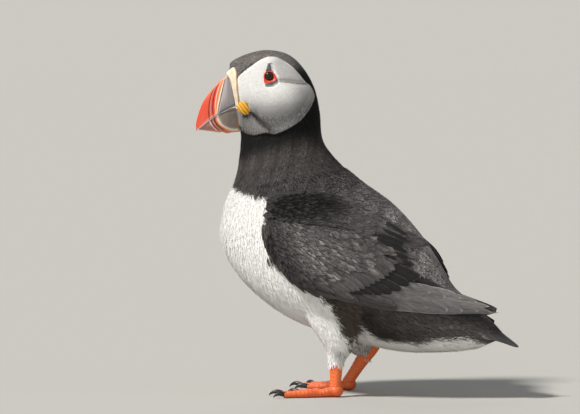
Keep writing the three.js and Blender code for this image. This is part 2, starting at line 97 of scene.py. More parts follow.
def step(x, low, high):
    """0 below low and 1 above high, with a smooth S between: 3 u squared minus 2 u cubed."""
    u = np.clip((x - low) / (high - low), 0, 1)
    return u * u * (3 - 2 * u)


def mix(a, b, share):
    """a where share is 0 and b where it is 1. Colours may be mixed by an array of shares."""
    a, b = np.asarray(a, float), np.asarray(b, float)
    share = np.asarray(share, float)
    if a.ndim and a.shape[-1:] == (3,) or b.ndim and b.shape[-1:] == (3,):
        share = share[..., None]
    return a + (b - a) * share


def layered(colour, layers):
    """A colour under thin coats of others, from (colour, share) pairs, each mixed over what lies below it."""
    for tone, share in layers:
        colour = mix(colour, tone, share)
    return colour


def hump(x, width):
    """1 at x = 0, fading both ways like a bell: e to the minus (x over width) squared."""
    return np.exp(-((x / width) ** 2))


def chance(spread, count):
    """Bell-shaped chance numbers round 0, so many of them or a whole array of a shape."""
    return spread * rng.normal(0, 1, count)


def chance_sizes(spread, count, low=-np.inf, high=np.inf):
    """Sizes that vary by chance round 1, kept between low and high."""
    return (1 + chance(spread, count)).clip(low, high)


def net(u_span, v_span, closed=False):
    """Evenly spaced values over a grid, from (first, last, how many) each way.

    A closed one leaves out the last v.
    """
    return np.meshgrid(np.linspace(*u_span), np.linspace(*v_span, endpoint=not closed), indexing="ij")


def away_from_line(y, z, line):
    """How far (y, z) lies from a line of straight stretches, and how far along it, from 0 to 1."""
    line = np.asarray(line, float)
    nearest = np.full(np.shape(y), np.inf)
    along = np.zeros(np.shape(y))
    for k in range(len(line) - 1):
        start, way = line[k], line[k + 1] - line[k]
        share = np.clip(((y - start[0]) * way[0] + (z - start[1]) * way[1]) / (way @ way), 0, 1)
        distance = np.hypot(y - start[0] - share * way[0], z - start[1] - share * way[1])
        closer = distance < nearest
        nearest = np.where(closer, distance, nearest)
        along = np.where(closer, (k + share) / (len(line) - 1), along)
    return nearest, along


# %% [markdown]
# ## The form of the body
# The body is one smooth loft from the root of the bill to the tail. Each station says where its ring meets
# the back and the belly, how wide it is, and how full its flanks are. The head looks a little to the left,
# so the rings of the head turn about an upright line through the neck, and the turn fades out down the
# neck. The stations are the frame's own, so skin and solids agree.

# %% Body form
HEAD_TURN = np.radians(16)
NECK_AXIS_Y = -36.4
TURN_FADES = (6, 10)
BODY = [  # back y, z, belly y, z, half width, fullness (1 is an ellipse, less is squarer)
    [-70.6, 210.2, -63.2, 168.6, 8.6, 0.8],
    [-68.0, 214.6, -63.0, 166.6, 11.8, 0.86],
    [-57.0, 219.7, -62.8, 164.4, 15.6, 0.9],
    [-45.0, 221.8, -62.6, 162.4, 18.4, 0.93],
    [-32.0, 219.2, -62.6, 160.4, 20.3, 0.95],
    [-22.3, 210.8, -62.7, 158.4, 21.5, 0.97],
    [-14.7, 197.6, -62.8, 156.0, 22.0, 0.98],
    [-11.1, 181.9, -63.4, 152.2, 22.2, 1.0],
    [-9.1, 163.8, -64.2, 146.0, 24.0, 1.0],
    [-0.4, 151.4, -66.9, 135.5, 31.0, 1.0],
    [15.7, 137.2, -73.4, 120.0, 39.0, 1.0],
    [36.5, 122.6, -75.8, 100.8, 44.0, 0.97],
    [53.5, 104.8, -68.8, 83.0, 46.0, 0.95],
    [66.8, 86.0, -52.9, 64.9, 45.0, 0.95],
    [77.3, 69.7, -29.7, 49.0, 40.0, 0.97],
    [91.0, 58.6, 3.3, 37.0, 32.0, 1.0],
    [101.3, 50.5, 42.5, 28.6, 24.0, 1.0],
    [108.6, 43.4, 76.0, 28.8, 16.0, 1.0],
    [112.0, 39.4, 94.5, 31.2, 8.0, 1.0],
]
LAST = len(BODY) - 1


def ring_point(t, angle):
    """Place on the body's ring at station t, before the head turns.

    The angle is 0 on the back, positive on the left, pi on the belly. Along the chord from belly to back
    the place moves with (1 + cos angle) / 2, and sideways with half width times sine, raised to the
    fullness.
    """
    s = smooth_curve(BODY, t)
    share = (1 + np.cos(angle)) / 2
    sine = np.sin(angle)
    x = np.sign(sine) * s[..., 4] * np.abs(sine) ** s[..., 5]
    y = s[..., 2] + (s[..., 0] - s[..., 2]) * share
    z = s[..., 3] + (s[..., 1] - s[..., 3]) * share
    return np.stack([x, y, z], -1)


def side_view(t, angle):
    """The y and z of a place on the body's ring, which are its place in the bird's side view."""
    place = ring_point(t, angle)
    return place[..., 1], place[..., 2]


def turned_by(points, angle):
    """Points turned about the neck's upright line by an angle each."""
    x, y, z = points[..., 0], points[..., 1] - NECK_AXIS_Y, points[..., 2]
    c, s = np.cos(angle), np.sin(angle)
    return np.stack([x * c - y * s, x * s + y * c + NECK_AXIS_Y, z], -1)


def outward(ring, u, v, du=0.02, dv=0.02):
    """Unit normals of a surface ring(u, v), from the cross product of its two small differences."""
    along = ring(u + du, v) - ring(u - du, v)
    round_ = ring(u, v + dv) - ring(u, v - dv)
    normal = np.cross(round_, along)
    return normal / np.maximum(np.linalg.norm(normal, axis=-1, keepdims=True), 1e-9)


# %% Tie the measure to the frame by its left eye
EYE_Y, EYE_Z = -43.9, 205.0
eye_low, eye_high = (np.array(corner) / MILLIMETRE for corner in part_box("eye_left"))
eye_middle = (eye_low + eye_high) / 2
EYE_OUT = (eye_middle[0] + (EYE_Y - NECK_AXIS_Y) * np.sin(HEAD_TURN)) / np.cos(HEAD_TURN)
eye_on_head = turned_by(np.array([EYE_OUT, EYE_Y, EYE_Z]), HEAD_TURN)
SHIFT = np.array([0, eye_middle[1] - eye_on_head[1], eye_middle[2] - eye_on_head[2]])
print("eye stands out", EYE_OUT.round(2), "mm; the measure is moved by", SHIFT.round(2), "mm")


# %% [markdown]
# ## The white cheek and the folds of the face
# A puffin's face is a pale disc of very short feathers with a clean edge. Behind the eye a fold runs back
# like a crease in cloth, and another parts the cheek from the grey chin. The disc is drawn by its reach
# from a middle place at even angles, the folds by short lines. The same numbers shape the skin and colour
# the coat.

# %% Face
DISC_Y, DISC_Z = -39.7, 192.5
# below, from the bill to the nape
DISC_REACH = [30, 31, 32, 32.3, 30.2, 25.4, 25.4, 24.1, 23.5, 23.6, 23.7, 24.5]
# above, from the nape back
DISC_REACH += [25.1, 23.3, 20.7, 20.3, 21.2, 22.5, 24.6, 25.5, 25.4, 25.5, 27.2, 29.5]
EYE_FOLD = [[-38.2, 202.3], [-32.0, 202.2], [-26.0, 201.4], [-19.6, 200.7]]
CHIN_FOLD = [[-56.0, 180.6], [-54.0, 178.9], [-49.4, 175.8], [-43.2, 171.4]]
ROSETTE_Y, ROSETTE_Z = -60.0, 184.4
# every 30 degrees, from the rear up
RING_REACH = [3.7, 3.35, 3.2, 3.2, 3.15, 3.1, 3.1, 3.5, 5.1, 4.1, 4.3, 5.5]
UPPER_PLATE = [[-46.0, 208.3], [-42.3, 208.8], [-43.2, 212.9], [-44.6, 213.1]]
LOWER_PLATE = [[-46.3, 198.8], [-46.1, 200.2], [-42.9, 200.3], [-39.5, 202.6], [-38.4, 202.1], [-42.1, 199.4]]


def ring_reach(y, z):
    """How far the bare ring reaches from the eye's middle towards a place: round, with two corners below."""
    turn = np.arctan2(z - EYE_Z, y - EYE_Y) % (2 * np.pi)
    return smooth_curve(np.array(RING_REACH + RING_REACH[:2])[:, None], turn / (np.pi / 6))[..., 0]


def in_disc(y, z):
    """Distance from the middle of the cheek as a share of the disc's reach that way: below 1 is inside."""
    turn = np.degrees(np.arctan2(z - DISC_Z, y - DISC_Y)) % 360
    knots = np.roll(DISC_REACH, -12)
    knots = np.concatenate([knots, knots[:2]])[:, None]
    return np.hypot(y - DISC_Y, z - DISC_Z) / smooth_curve(knots, turn / 15)[..., 0]


def face_relief(y, z, t):
    """Height of the face's folds over the plain body: a sum of humps and dents round places and lines."""
    disc = in_disc(y, z)
    to_eye = np.hypot(y - EYE_Y, z - EYE_Z)
    to_fold, along_fold = away_from_line(y, z, EYE_FOLD)
    to_chin, along_chin = away_from_line(y, z, CHIN_FOLD)
    behind = step(y, -56, -40)
    height = hump(np.minimum(disc - 0.93, 0), 0.1) * step(disc, 1.03, 0.96) * behind
    height -= hump(to_fold, 0.8) * (1 - 0.5 * along_fold)
    height += 0.5 * hump(np.hypot(y + 33, (z - 206) * 1.4), 7.0)
    height += 0.7 * hump(np.hypot(y - EYE_Y, z - EYE_Z - 8.5), 4.5) - 0.9 * hump(to_eye, 4.8)
    height -= 1.7 * hump(to_chin, 1.5) * (1 - 0.4 * along_chin)
    height += 0.9 * hump(np.hypot(y + 50, (z - 171) * 1.3), 7.0)
    return height * step(t, 8.6, 7.2)


def body_place(t, angle, lift=0.0):
    """Place over the body at station t and angle, lift millimetres out from the plain form and its folds."""
    place = ring_point(t, angle)
    height = face_relief(place[..., 1], place[..., 2], t) + lift
    place = place + outward(ring_point, t, angle) * height[..., None]
    return turned_by(place, HEAD_TURN * (1 - step(t, *TURN_FADES)))


# %% [markdown]
# ## The markings
# The crown, nape, collar and back are black, the cheeks, breast and belly white, and the flank behind the
# legs dark. The borders are lines in the bird's side view. Skin and feathers ask the same function for
# their colour, so a gap between feathers shows the right colour below.

# %% Markings
BLACK = np.array([0.0085, 0.0078, 0.0078])
CROWN = np.array([0.17, 0.152, 0.147])
COLLAR = np.array([0.085, 0.073, 0.068])
MANTLE = np.array([0.06, 0.0555, 0.0545])
BROWN = np.array([0.085, 0.067, 0.056])
WHITE = np.array([0.86, 0.85, 0.83])
CHEEK_GREY = np.array([0.4, 0.385, 0.38])
CERE_CREAM = np.array([0.8, 0.7, 0.52])
CHIN_GREY = np.array([0.22, 0.208, 0.2])
PLATE_BLUE = np.array([0.085, 0.093, 0.105])
RING_RED = np.array([0.7, 0.055, 0.018])
WHITE_EDGE = [[-90, 143.0], [-66, 137.8], [-54.5, 134.0], [-44.7, 131.3], [-34.8, 130.4], [-35.9, 123],
    [-37.4, 110]]
WHITE_EDGE += [[-12.8, 77.4], [-0.8, 67.4], [3.6, 61.8], [6.4, 54], [9.6, 47], [14, 40], [18.2, 33], [19, 25]]
WEDGE_BACK = [[24, 64], [22, 53.0], [20.3, 49.0], [20.4, 38], [21.6, 32], [21.8, 20]]
REAR_EDGE = [[17, 75], [18.6, 56], [20.4, 49.5], [23.3, 44.5], [26.0, 41.0], [29.3, 38.7], [41.6, 37.2],
    [55.5, 35.8], [66, 38.6]]
REAR_EDGE += [[87.2, 39.4], [97.8, 34.4], [125, 20]]


def side_of_line(y, z, line):
    """Distance from a line of straight stretches, positive on its left when walked from first place to last.

    At a bend two stretches are equally near; the one that the place lies more squarely beside gives the sign.
    """
    line = np.asarray(line, float)
    best = np.full(np.shape(y), np.inf)
    squarely = np.zeros(np.shape(y))
    signed = np.zeros(np.shape(y))
    for start, end in zip(line[:-1], line[1:]):
        way = end - start
        share = np.clip(((y - start[0]) * way[0] + (z - start[1]) * way[1]) / (way @ way), 0, 1)
        distance = np.hypot(y - start[0] - share * way[0], z - start[1] - share * way[1])
        beside = (way[0] * (z - start[1]) - way[1] * (y - start[0])) / np.hypot(*way)
        nearer = (distance < best - 1e-6) | ((distance < best + 1e-6) & (np.abs(beside) > squarely))
        signed = np.where(nearer, distance * np.sign(beside), signed)
        squarely = np.where(nearer, np.abs(beside), squarely)
        best = np.where(nearer, distance, best)
    return signed


def face_colour(y, z):
    """Colour of the pale disc: white, grey above the fold behind the eye, greyer low down and behind.

    The greyer cheek low down and behind is painted shade, partly the cheek's own greyer feathers.
    Along the lower and rear rim a painted rim highlight lifts it again, and a painted pale halo rings the
    bare eye ring. A painted shadow lies along the chin fold, and painted shade darkens both folds. The
    chin below its fold is mottled grey.
    """
    disc = in_disc(y, z)
    to_fold, _ = away_from_line(y, z, EYE_FOLD)
    above = step(y, -47, -38) * step(z - (202.4 - 0.09 * (y + 38)), -0.3, 0.6)
    # Painted shade: the disc darkens low down and towards the back, partly the cheek's own greyer feathers.
    # Along the lower and rear rim a painted rim highlight lifts it again.
    low = np.interp(z - 0.12 * (y + 40), [174, 179, 183, 187, 191, 198], [0.22, 0.2, 0.3, 0.46, 0.75, 1])
    behind = step(y, -34, -17) * step(z, 207, 195)
    rim = step(disc, 0.86, 0.94) * (z < 200) * (y > -52)
    shade = np.clip(low * (1 - 0.5 * behind), 0.12, 1)
    colour = mix(WHITE, CHEEK_GREY, 0.72 * above * step(disc, 0.99, 0.93))
    colour = colour * mix(shade, 0.85, 0.35 * rim)[..., None]
    from_ring = np.hypot(y - EYE_Y, z - EYE_Z) - ring_reach(y, z)
    # Painted highlight: a pale halo round the bare ring and under the brow plate.
    halo = hump(from_ring - 0.8, 0.5) + hump(away_from_line(y, z, UPPER_PLATE[:2])[0] - 1.0, 0.4)
    colour = layered(colour, [(WHITE, np.clip(0.8 * halo, 0, 1)), (RING_RED, step(from_ring, 0.1, -0.2))])
    near_chin, along_chin = away_from_line(y, z, CHIN_FOLD)
    # Painted shadow on the cheek along the chin fold.
    colour = colour * (1 - 0.6 * hump(near_chin, 4.5) * (1 - 0.3 * along_chin))[..., None]
    to_chin = side_of_line(y, z, [[-66, 184.5]] + CHIN_FOLD + [[-41.0, 168]])
    mottle = 1 + 0.25 * streaks(y * 0.5, z * 0.6, 5, 41) - 0.72 * step(z + 0.25 * (y + 55), 173, 166)
    chin = CHIN_GREY * np.clip(mottle, 0.1, 2)[..., None]
    below_rosette = hump(np.hypot((y - ROSETTE_Y - 0.6) / 2.6, (z - ROSETTE_Z + 5.0) / 1.5), 1.0)
    # Painted shade in the creases: the dark line in the chin fold and the brown line along the fold behind
    # the eye.
    return layered(colour, [
        (chin, step(to_chin, 0.3, -0.8) * step(z, 187, 183)),
        (BLACK * 2, hump(near_chin, 1.3) * (1 - 0.5 * along_chin)),
        (PLATE_BLUE * 0.5, below_rosette),
        (BROWN * 0.7, 0.9 * hump(to_fold, 0.38)),
    ])


def before_cere_rim(y, z):
    """True before the rear rim of the cere and under its blunt top, where no feather grows."""
    rim = np.interp(z, [184, 190, 195.5, 201.5, 207.2, 211], [-62.7, -63.4, -64.1, -64.5, -64.7, -66.8])
    return (y < rim) & (z < 211.2 - 0.7 * np.abs(y + 67.5))


def body_colour(t, angle, waver=0.0, disc_edge=1.0):
    """Colour of the coat at a place of the body. waver moves every border a little, for a feathery edge."""
    place = ring_point(t, angle)
    y, z = place[..., 1], place[..., 2]
    disc = in_disc(y, z)
    front = side_of_line(y, z + waver, WHITE_EDGE)
    wedge = side_of_line(y + waver, z, WEDGE_BACK)
    rear = side_of_line(y, z + waver, REAR_EDGE)
    mottle = 0.7 + 0.3 * streaks(y * 0.1, z * 0.08, 5, 43)
    # The collar's lighter brown is partly worn feathers and partly a painted highlight where the light falls
    # on it.
    worn_and_lit = np.clip(step(z - 0.3 * (y + 40), 168, 152) * step(z + 0.9 * y, 72, 92) * mottle, 0, 1)
    brown = 0.75 * step(wedge, 1, -1) * step(z, 80, 60) + 0.3 * step(wedge, -1, 1) * step(z, 58, 48)
    dark = layered(BLACK, [
        # The crown's grey is partly its own and partly a painted sheen where the light falls on the top of
        # the head.
        (CROWN, step(z - 0.35 * (y + 45), 200, 212) * step(t, 7.2, 5.5)),
        (COLLAR, worn_and_lit * step(t, 6.0, 7.5)),
        (MANTLE, step(t, 7.6, 9.8) * step(z - 0.2 * (y + 30), 95, 120)),
        (MANTLE * 1.5, step(wedge, -1, 1) * step(y + 0.6 * (z - 45), 38, 78)),
        (BROWN, np.clip(brown, 0, 1)),
    ])
    before = np.maximum(step(front, 0.5, -0.5), step(wedge, 2, -2) * step(z, 44, 40))
    behind = step(wedge, -0.8, 0.8) * step(rear, 1.3, -1.3)
    colour = mix(dark, WHITE, np.maximum(before, behind) * (t > 7.6))
    bare_top = np.abs(place[..., 0]) < 5.5
    face = (disc < disc_edge) & (t < 7.7) & ~(bare_top & (z > 190))
    colour = np.where(face[..., None], face_colour(y, z), colour)
    bare = before_cere_rim(y, z) & (z > 184) & (t < 4)
    return np.where(bare[..., None], CERE_CREAM, colour)


# %% Painting helpers
def painted(place, stops):
    """Colour at a place along a list of (place, colour) stops, mixed evenly between neighbours."""
    places = [stop[0] for stop in stops]
    return np.stack([np.interp(place, places, [stop[1][k] for stop in stops]) for k in range(3)], -1)


def bands(*rows):
    """Stops for bands of even colour, from (start, end, colour) rows; what lies between two bands blends."""
    return [(edge, colour) for start, end, colour in rows for edge in (start, end)]


def streaks(along, across, count, seed):
    """Soft uneven streaks from -1 to 1: a sum of waves with chance lengths and starts."""
    wave = np.random.default_rng(seed)
    total = np.zeros(np.broadcast(along, across).shape)
    for k in range(1, count + 1):
        pace = wave.uniform(0.5, 1.5) * k
        slant = wave.uniform(-3, 3) * ((k - 1) % 3)
        total = total + np.sin(along * pace * 5 + across * slant + wave.uniform(0, 6.3)) / k
    return total / 1.6


# %% [markdown]
# ## Writing meshes
# Each piece is worked out as whole arrays and handed to Blender at once. A piece lists its corners, its
# faces as index lists and, where it has them, a colour for each corner and a flat map. Faces are given as a
# flat list of corner numbers with the start of each, because feathers mix three and four sided faces.


# %% Mesh writing
def write_mesh(name, corners, loops, starts, colours=None, maps=()):
    """A mesh object from corners in the sculptor's measure, face corners and where each face starts."""
    mesh = bpy.data.meshes.new(name)
    places = ((corners + SHIFT) * MILLIMETRE).astype(np.float32)
    mesh.vertices.add(len(places))
    mesh.vertices.foreach_set("co", places.ravel())
    mesh.loops.add(len(loops))
    mesh.loops.foreach_set("vertex_index", loops.astype(np.int32))
    mesh.polygons.add(len(starts))
    mesh.polygons.foreach_set("loop_start", starts.astype(np.int32))
    mesh.polygons.foreach_set("use_smooth", np.full(len(starts), True))
    mesh.update(calc_edges=True)
    for map_name, flat in maps:
        layer = mesh.uv_layers.new(name=map_name)
        layer.data.foreach_set("uv", flat[loops].astype(np.float32).ravel())
    if colours is not None:
        layer = mesh.color_attributes.new("paint", "FLOAT_COLOR", "POINT")
        rgba = np.concatenate([colours, np.ones((len(colours), 1))], -1)
        layer.data.foreach_set("color", rgba.astype(np.float32).ravel())
    mesh.validate()
    piece = bpy.data.objects.new(name, mesh)
    bpy.context.scene.collection.objects.link(piece)
    return piece


def grid_faces(rows, columns, closed=False, closed_rows=False):
    """Four-sided faces of a grid of rows by columns; closed joins the last column, or row, to the first."""
    row = np.arange(rows if closed_rows else rows - 1)[:, None]
    column = np.arange(columns if closed else columns - 1)[None, :]
    below, beside = (row + 1) % rows, (column + 1) % columns
    corners = (row * columns + column, row * columns + beside, below * columns + beside,
        below * columns + column)
    quads = np.stack(np.broadcast_arrays(*corners), -1).reshape(-1, 4)
    return quads.ravel(), np.arange(len(quads)) * 4


def turned_over(loops, starts):
    """The same faces seen from behind: every list of corners read backwards."""
    ends = np.append(starts[1:], len(loops))
    return loops[::-1], (len(loops) - ends)[::-1]


def facing_out(corners, loops, starts, way=None):
    """Turns all faces over where they point inwards.

    A closed piece is told by its volume, the sum of a . (b x c) over its triangles; an open one by a way to
    face.
    """
    sizes = np.diff(np.append(starts, len(loops)))
    first = np.repeat(starts, sizes)
    here = np.arange(len(loops))
    inner = (here > first) & (here < first + np.repeat(sizes, sizes) - 1)
    a, b, c = corners[loops[first[inner]]], corners[loops[here[inner]]], corners[loops[here[inner] + 1]]
    total = (np.cross(b - a, c - a) * (a if way is None else np.array(way))).sum()
    return (loops, starts) if total > 0 else turned_over(loops, starts)


def joined(*parts):
    """Several (corners, loops, starts, colours) as one: face lists are moved on by what came before."""
    corners, loops, starts, colours = zip(*parts)
    corner_shifts = np.cumsum([0] + [len(part) for part in corners])
    loop_shifts = np.cumsum([0] + [len(part) for part in loops])
    loops = [part + shift for part, shift in zip(loops, corner_shifts)]
    starts = [part + shift for part, shift in zip(starts, loop_shifts)]
    return [np.concatenate(group) for group in (corners, loops, starts, colours)]


def with_ends(rings):
    """Values on rings as one flat list, followed by the mean of the first ring and of the last."""
    flat = rings.reshape(-1, rings.shape[-1])
    return np.concatenate([flat, rings[:1].mean(1), rings[-1:].mean(1)])


def capped(rings):
    """A closed body from rings of corners: a band of quads, and a fan of triangles over each end ring."""
    rows, columns = rings.shape[:2]
    corners = with_ends(rings)
    loops, starts = grid_faces(rows, columns, closed=True)
    here = np.arange(columns)
    beside = (here + 1) % columns
    near = np.stack([0 * here + rows * columns, beside, here], -1)
    far = np.stack([0 * here + rows * columns + 1, here + (rows - 1) * columns,
        beside + (rows - 1) * columns], -1)
    fan_starts = len(loops) + 3 * np.arange(2 * columns)
    loops = np.concatenate([loops, near.ravel(), far.ravel()])
    return corners, *facing_out(corners, loops, np.concatenate([starts, fan_starts]))


def coloured(rings, tone):
    """A closed body from rings, with the colour that tone gives for its corners."""
    corners, loops, starts = capped(rings)
    return corners, loops, starts, tone(corners)


# %% [markdown]
# ## One way to lay every feather
# A feather is a flat vane that starts at a root in the skin and follows the body backwards. One pattern of
# corners, told by how far along and how far across each lies, is laid at thousands of roots at once: the
# pattern is measured out in the surface's own two directions, so every feather bends with the body below
# it. Small feathers are single pointed blades in great number, large ones broad vanes with a rounded tip.


# %% Feather patterns and laying
BLADE = {
    "along": np.array([0, 0, 0.5, 0.5, 1.0]),
    "across": np.array([-0.3, 0.3, -0.5, 0.5, 0]),
    "loops": np.array([0, 1, 3, 2, 2, 3, 4]),
    "starts": np.array([0, 4]),
}
BAKE_PATCH = 0.003


def vane_pattern(rows, columns, square, root=0.45, sharp=2.0, skew=0.0, rim=0.6):
    """A broad vane: its half width grows from the root's share, then closes past the place called square.

    Past that place the half width is the root of 1 - p to the power sharp: 2 is a round tip, 1 a pointed
    one. skew moves the tip towards one side. The pale rim starts at the share of the half width called rim.
    """
    along, across = net((0, 1, rows), (-0.5, 0.5, columns))
    along = along**0.85
    past = np.clip((along - square) / (1 - square), 0, 1)
    breadth = (root + (1 - root) * step(along, 0, 0.3)) * np.sqrt(np.clip(1 - past**sharp, 0.004, 1))
    loops, starts = grid_faces(rows, columns)
    return {
        "along": along.ravel(),
        "across": (across * breadth - skew * past**1.5).ravel(),
        "beside": (across * 2).ravel(),
        "rim": np.maximum(step(np.abs(across * 2), rim, 1), step(along, 1 - 0.3 * (1 - rim), 1)).ravel(),
        "loops": loops,
        "starts": starts,
    }


def scatter_roots(place, u_span, v_span, per_mm2, cells=150):
    """Roots spread by chance over a surface: each cell of a fine net gets as many as its area asks."""
    u = np.linspace(*u_span, cells + 1)
    v = np.linspace(*v_span, cells + 1)
    net = place(*np.meshgrid(u, v, indexing="ij"), 0.0)
    side, down = np.diff(net, axis=0)[:, :-1], np.diff(net, axis=1)[:-1]
    area = np.linalg.norm(np.cross(side, down), axis=-1)
    middle_u, middle_v = np.meshgrid((u[1:] + u[:-1]) / 2, (v[1:] + v[:-1]) / 2, indexing="ij")
    wanted = area * (per_mm2(middle_u, middle_v) if callable(per_mm2) else per_mm2)
    count = np.floor(wanted + rng.random(wanted.shape)).astype(int).ravel()
    root_u = np.repeat(middle_u.ravel(), count) + (rng.random(count.sum()) - 0.5) * (u[1] - u[0])
    root_v = np.repeat(middle_v.ravel(), count) + (rng.random(count.sum()) - 0.5) * (v[1] - v[0])
    return root_u, root_v


def surface_scale(place, u, v):
    """Millimetres for a step of u, how far a step of v runs along u, and how far it runs square to u."""
    small = 0.01
    middle = place(u, v, 0.0)
    way_u = (place(u + small, v, 0.0) - middle) / small
    way_v = (place(u, v + small, 0.0) - middle) / small
    long_u = np.linalg.norm(way_u, axis=-1)
    unit_u = way_u / long_u[:, None]
    skew = (way_v * unit_u).sum(-1)
    return long_u, skew, np.linalg.norm(way_v - unit_u * skew[:, None], axis=-1)


def lay_feathers(
    name, place, u, v, pattern, length, width, lifts, turn=0.0, colour=None,
    fringe=0.0, tip=0.0, camber=0.0, tilt=0.0, flip=False, spans=None,
):
    """A mesh of feathers over place(u, v, lift).

    Each corner lies along * length down the feather and across * width beside it, in the surface's own two
    directions turned by an angle, at a lift that goes from the root's to the tip's. fringe lightens the
    edges, tip the end.
    """
    count, corners = len(u), len(pattern["along"])
    long_u, skew, long_v = surface_scale(place, u, v)
    long_v = np.maximum(long_v, 0.2 * np.hypot(skew, long_v))
    along, across = pattern["along"][None, :], pattern["across"][None, :]
    low, high = lifts
    values = (length, width, turn, low, high)
    length, width, turn, low, high = (np.broadcast_to(value, u.shape)[:, None] for value in values)
    down = length * along * np.cos(turn) - width * across * np.sin(turn)
    side = length * along * np.sin(turn) + width * across * np.cos(turn)
    dv = side / long_v[:, None]
    du = (down - dv * skew[:, None]) / long_u[:, None]
    beside = pattern.get("beside", pattern["across"] * 2) ** 2
    lift = low + (high - low) * along**0.7 + camber * (1 - beside)[None, :] * np.minimum(along * 3, 1)
    lift = lift + tilt * 2 * across
    points = place(u[:, None] + du, v[:, None] + dv, lift)
    tint = np.repeat(colour[:, None, :], corners, 1) * (1 + tip * (along - 0.4))[..., None]
    if "beside" in pattern:
        shaft = hump(pattern["beside"], 0.2)
        grain = np.exp(0.16 * rng.normal(0, 1, (count, corners)))
        tint = tint * ((1 + fringe * pattern["rim"] - 0.25 * shaft) * grain)[..., None]
    offset = np.arange(count)[:, None] * corners
    order, face_starts = pattern["loops"], pattern["starts"]
    if flip:
        order, face_starts = turned_over(order, face_starts)
    loops = (offset + order[None, :]).ravel()
    starts = (np.arange(count)[:, None] * len(order) + face_starts[None, :]).ravel()
    spans = spans or ((u.min(), u.max()), (v.min(), v.max()))
    roots = [(a - first) / max(last - first, 1e-6) * 0.98 + 0.01 for a, (first, last) in zip((u, v), spans)]
    within = (BAKE_PATCH * (along - 0.5), BAKE_PATCH * np.clip(across, -0.5, 0.5))
    bake = np.stack([root[:, None] + patch for root, patch in zip(roots, within)], -1)
    barbs = np.stack(np.broadcast_arrays(across + 0.5, along * np.ones((count, 1))), -1)
    maps = (("OFBake", bake.reshape(-1, 2)), ("barbs", barbs.reshape(-1, 2)))
    piece = write_mesh(name, points.reshape(-1, 3), loops, starts, np.clip(tint.reshape(-1, 3), 0, 0.95),
        maps)
    print(name, count, "feathers", len(starts), "faces")
    return piece


# %% [markdown]
# ## Finishes
# Feathers are matt with a soft sheen that catches light at a glancing angle, and the fine barbs of a large
# feather run slanting from its shaft to its edge. The colour of every feather is stored in its corners, so
# one material serves the whole coat and the colour survives outside Blender.


# %% Plumage materials
def feed(node, **inputs):
    """Gives each named input of a node its value, or a link where it is given another node's output."""
    for name, value in inputs.items():
        socket = node.inputs[name.replace("_", " ")]
        if isinstance(value, bpy.types.NodeSocket):
            node.id_data.links.new(value, socket)
        else:
            socket.default_value = value
    return node


def add_node(tree, kind, **inputs):
    """A new node of a kind, fed with its inputs."""
    return feed(tree.nodes.new("ShaderNode" + kind), **inputs)


def new_material(name, painted=True, **settings):
    """A material, its shader with the given settings and its tree.

    A painted one shows the colours stored in the corners of its mesh.
    """
    material = bpy.data.materials.new(name)
    material.use_nodes = True
    tree = material.node_tree
    shader = feed(tree.nodes["Principled BSDF"], **settings)
    if painted:
        paint = add_node(tree, "Attribute")
        paint.attribute_name = "paint"
        feed(shader, Base_Color=paint.outputs["Color"])
    return material, shader, tree


def barbs_as_bump(shader, tree):
    """Slanting barbs as fine ridges, and the shaft as a thicker one, on a vane's own flat map."""

    def sum_of(operation, *values):
        node = tree.nodes.new("ShaderNodeMath")
        node.operation = operation
        for socket, value in zip(node.inputs, values):
            if isinstance(value, float):
                socket.default_value = value
            else:
                tree.links.new(value, socket)
        return node.outputs[0]

    flat = add_node(tree, "UVMap")
    flat.uv_map = "barbs"
    parts = add_node(tree, "SeparateXYZ", Vector=flat.outputs["UV"])
    beside = sum_of("ABSOLUTE", sum_of("SUBTRACT", parts.outputs["X"], 0.5), 0.0)
    slant = sum_of("SUBTRACT", sum_of("MULTIPLY", parts.outputs["Y"], 150.0),
        sum_of("MULTIPLY", beside, 70.0))
    ridge = sum_of("SINE", slant, 0.0)
    shaft = sum_of("LESS_THAN", beside, 0.035)
    height = sum_of("ADD", sum_of("MULTIPLY", ridge, 0.5), sum_of("MULTIPLY", shaft, 2.0))
    bump = add_node(tree, "Bump", Strength=0.35, Distance=0.0002, Height=height)
    feed(shader, Normal=bump.outputs["Normal"])


SOFT_FEATHERS, _, _ = new_material(
    "soft feathers", Roughness=0.72, Specular_IOR_Level=0.16, Sheen_Weight=0.03, Sheen_Roughness=0.45
)
BROAD_FEATHERS, *shader_and_tree = new_material(
    "broad feathers", Roughness=0.46, Specular_IOR_Level=0.3, Sheen_Weight=0.03, Sheen_Roughness=0.4
)
barbs_as_bump(*shader_and_tree)


def finish_piece(piece, material, nodes=()):
    """Gives a piece its material, hangs it on the frame's root body and hides the frame's solids that it
    stands for, if any.
    """
    piece.data.materials.append(material)
    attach(piece, "root")
    if nodes:
        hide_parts(*nodes)
    return piece


# %% [markdown]
# ## The skin
# Under the feathers lies one skin for head, neck, trunk, rump and thighs. It follows the same rings as the
# coat but lies inside it by the coat's depth, deeper on the breast than on the face. It is coloured like
# the coat, so nothing pale shines through the black.

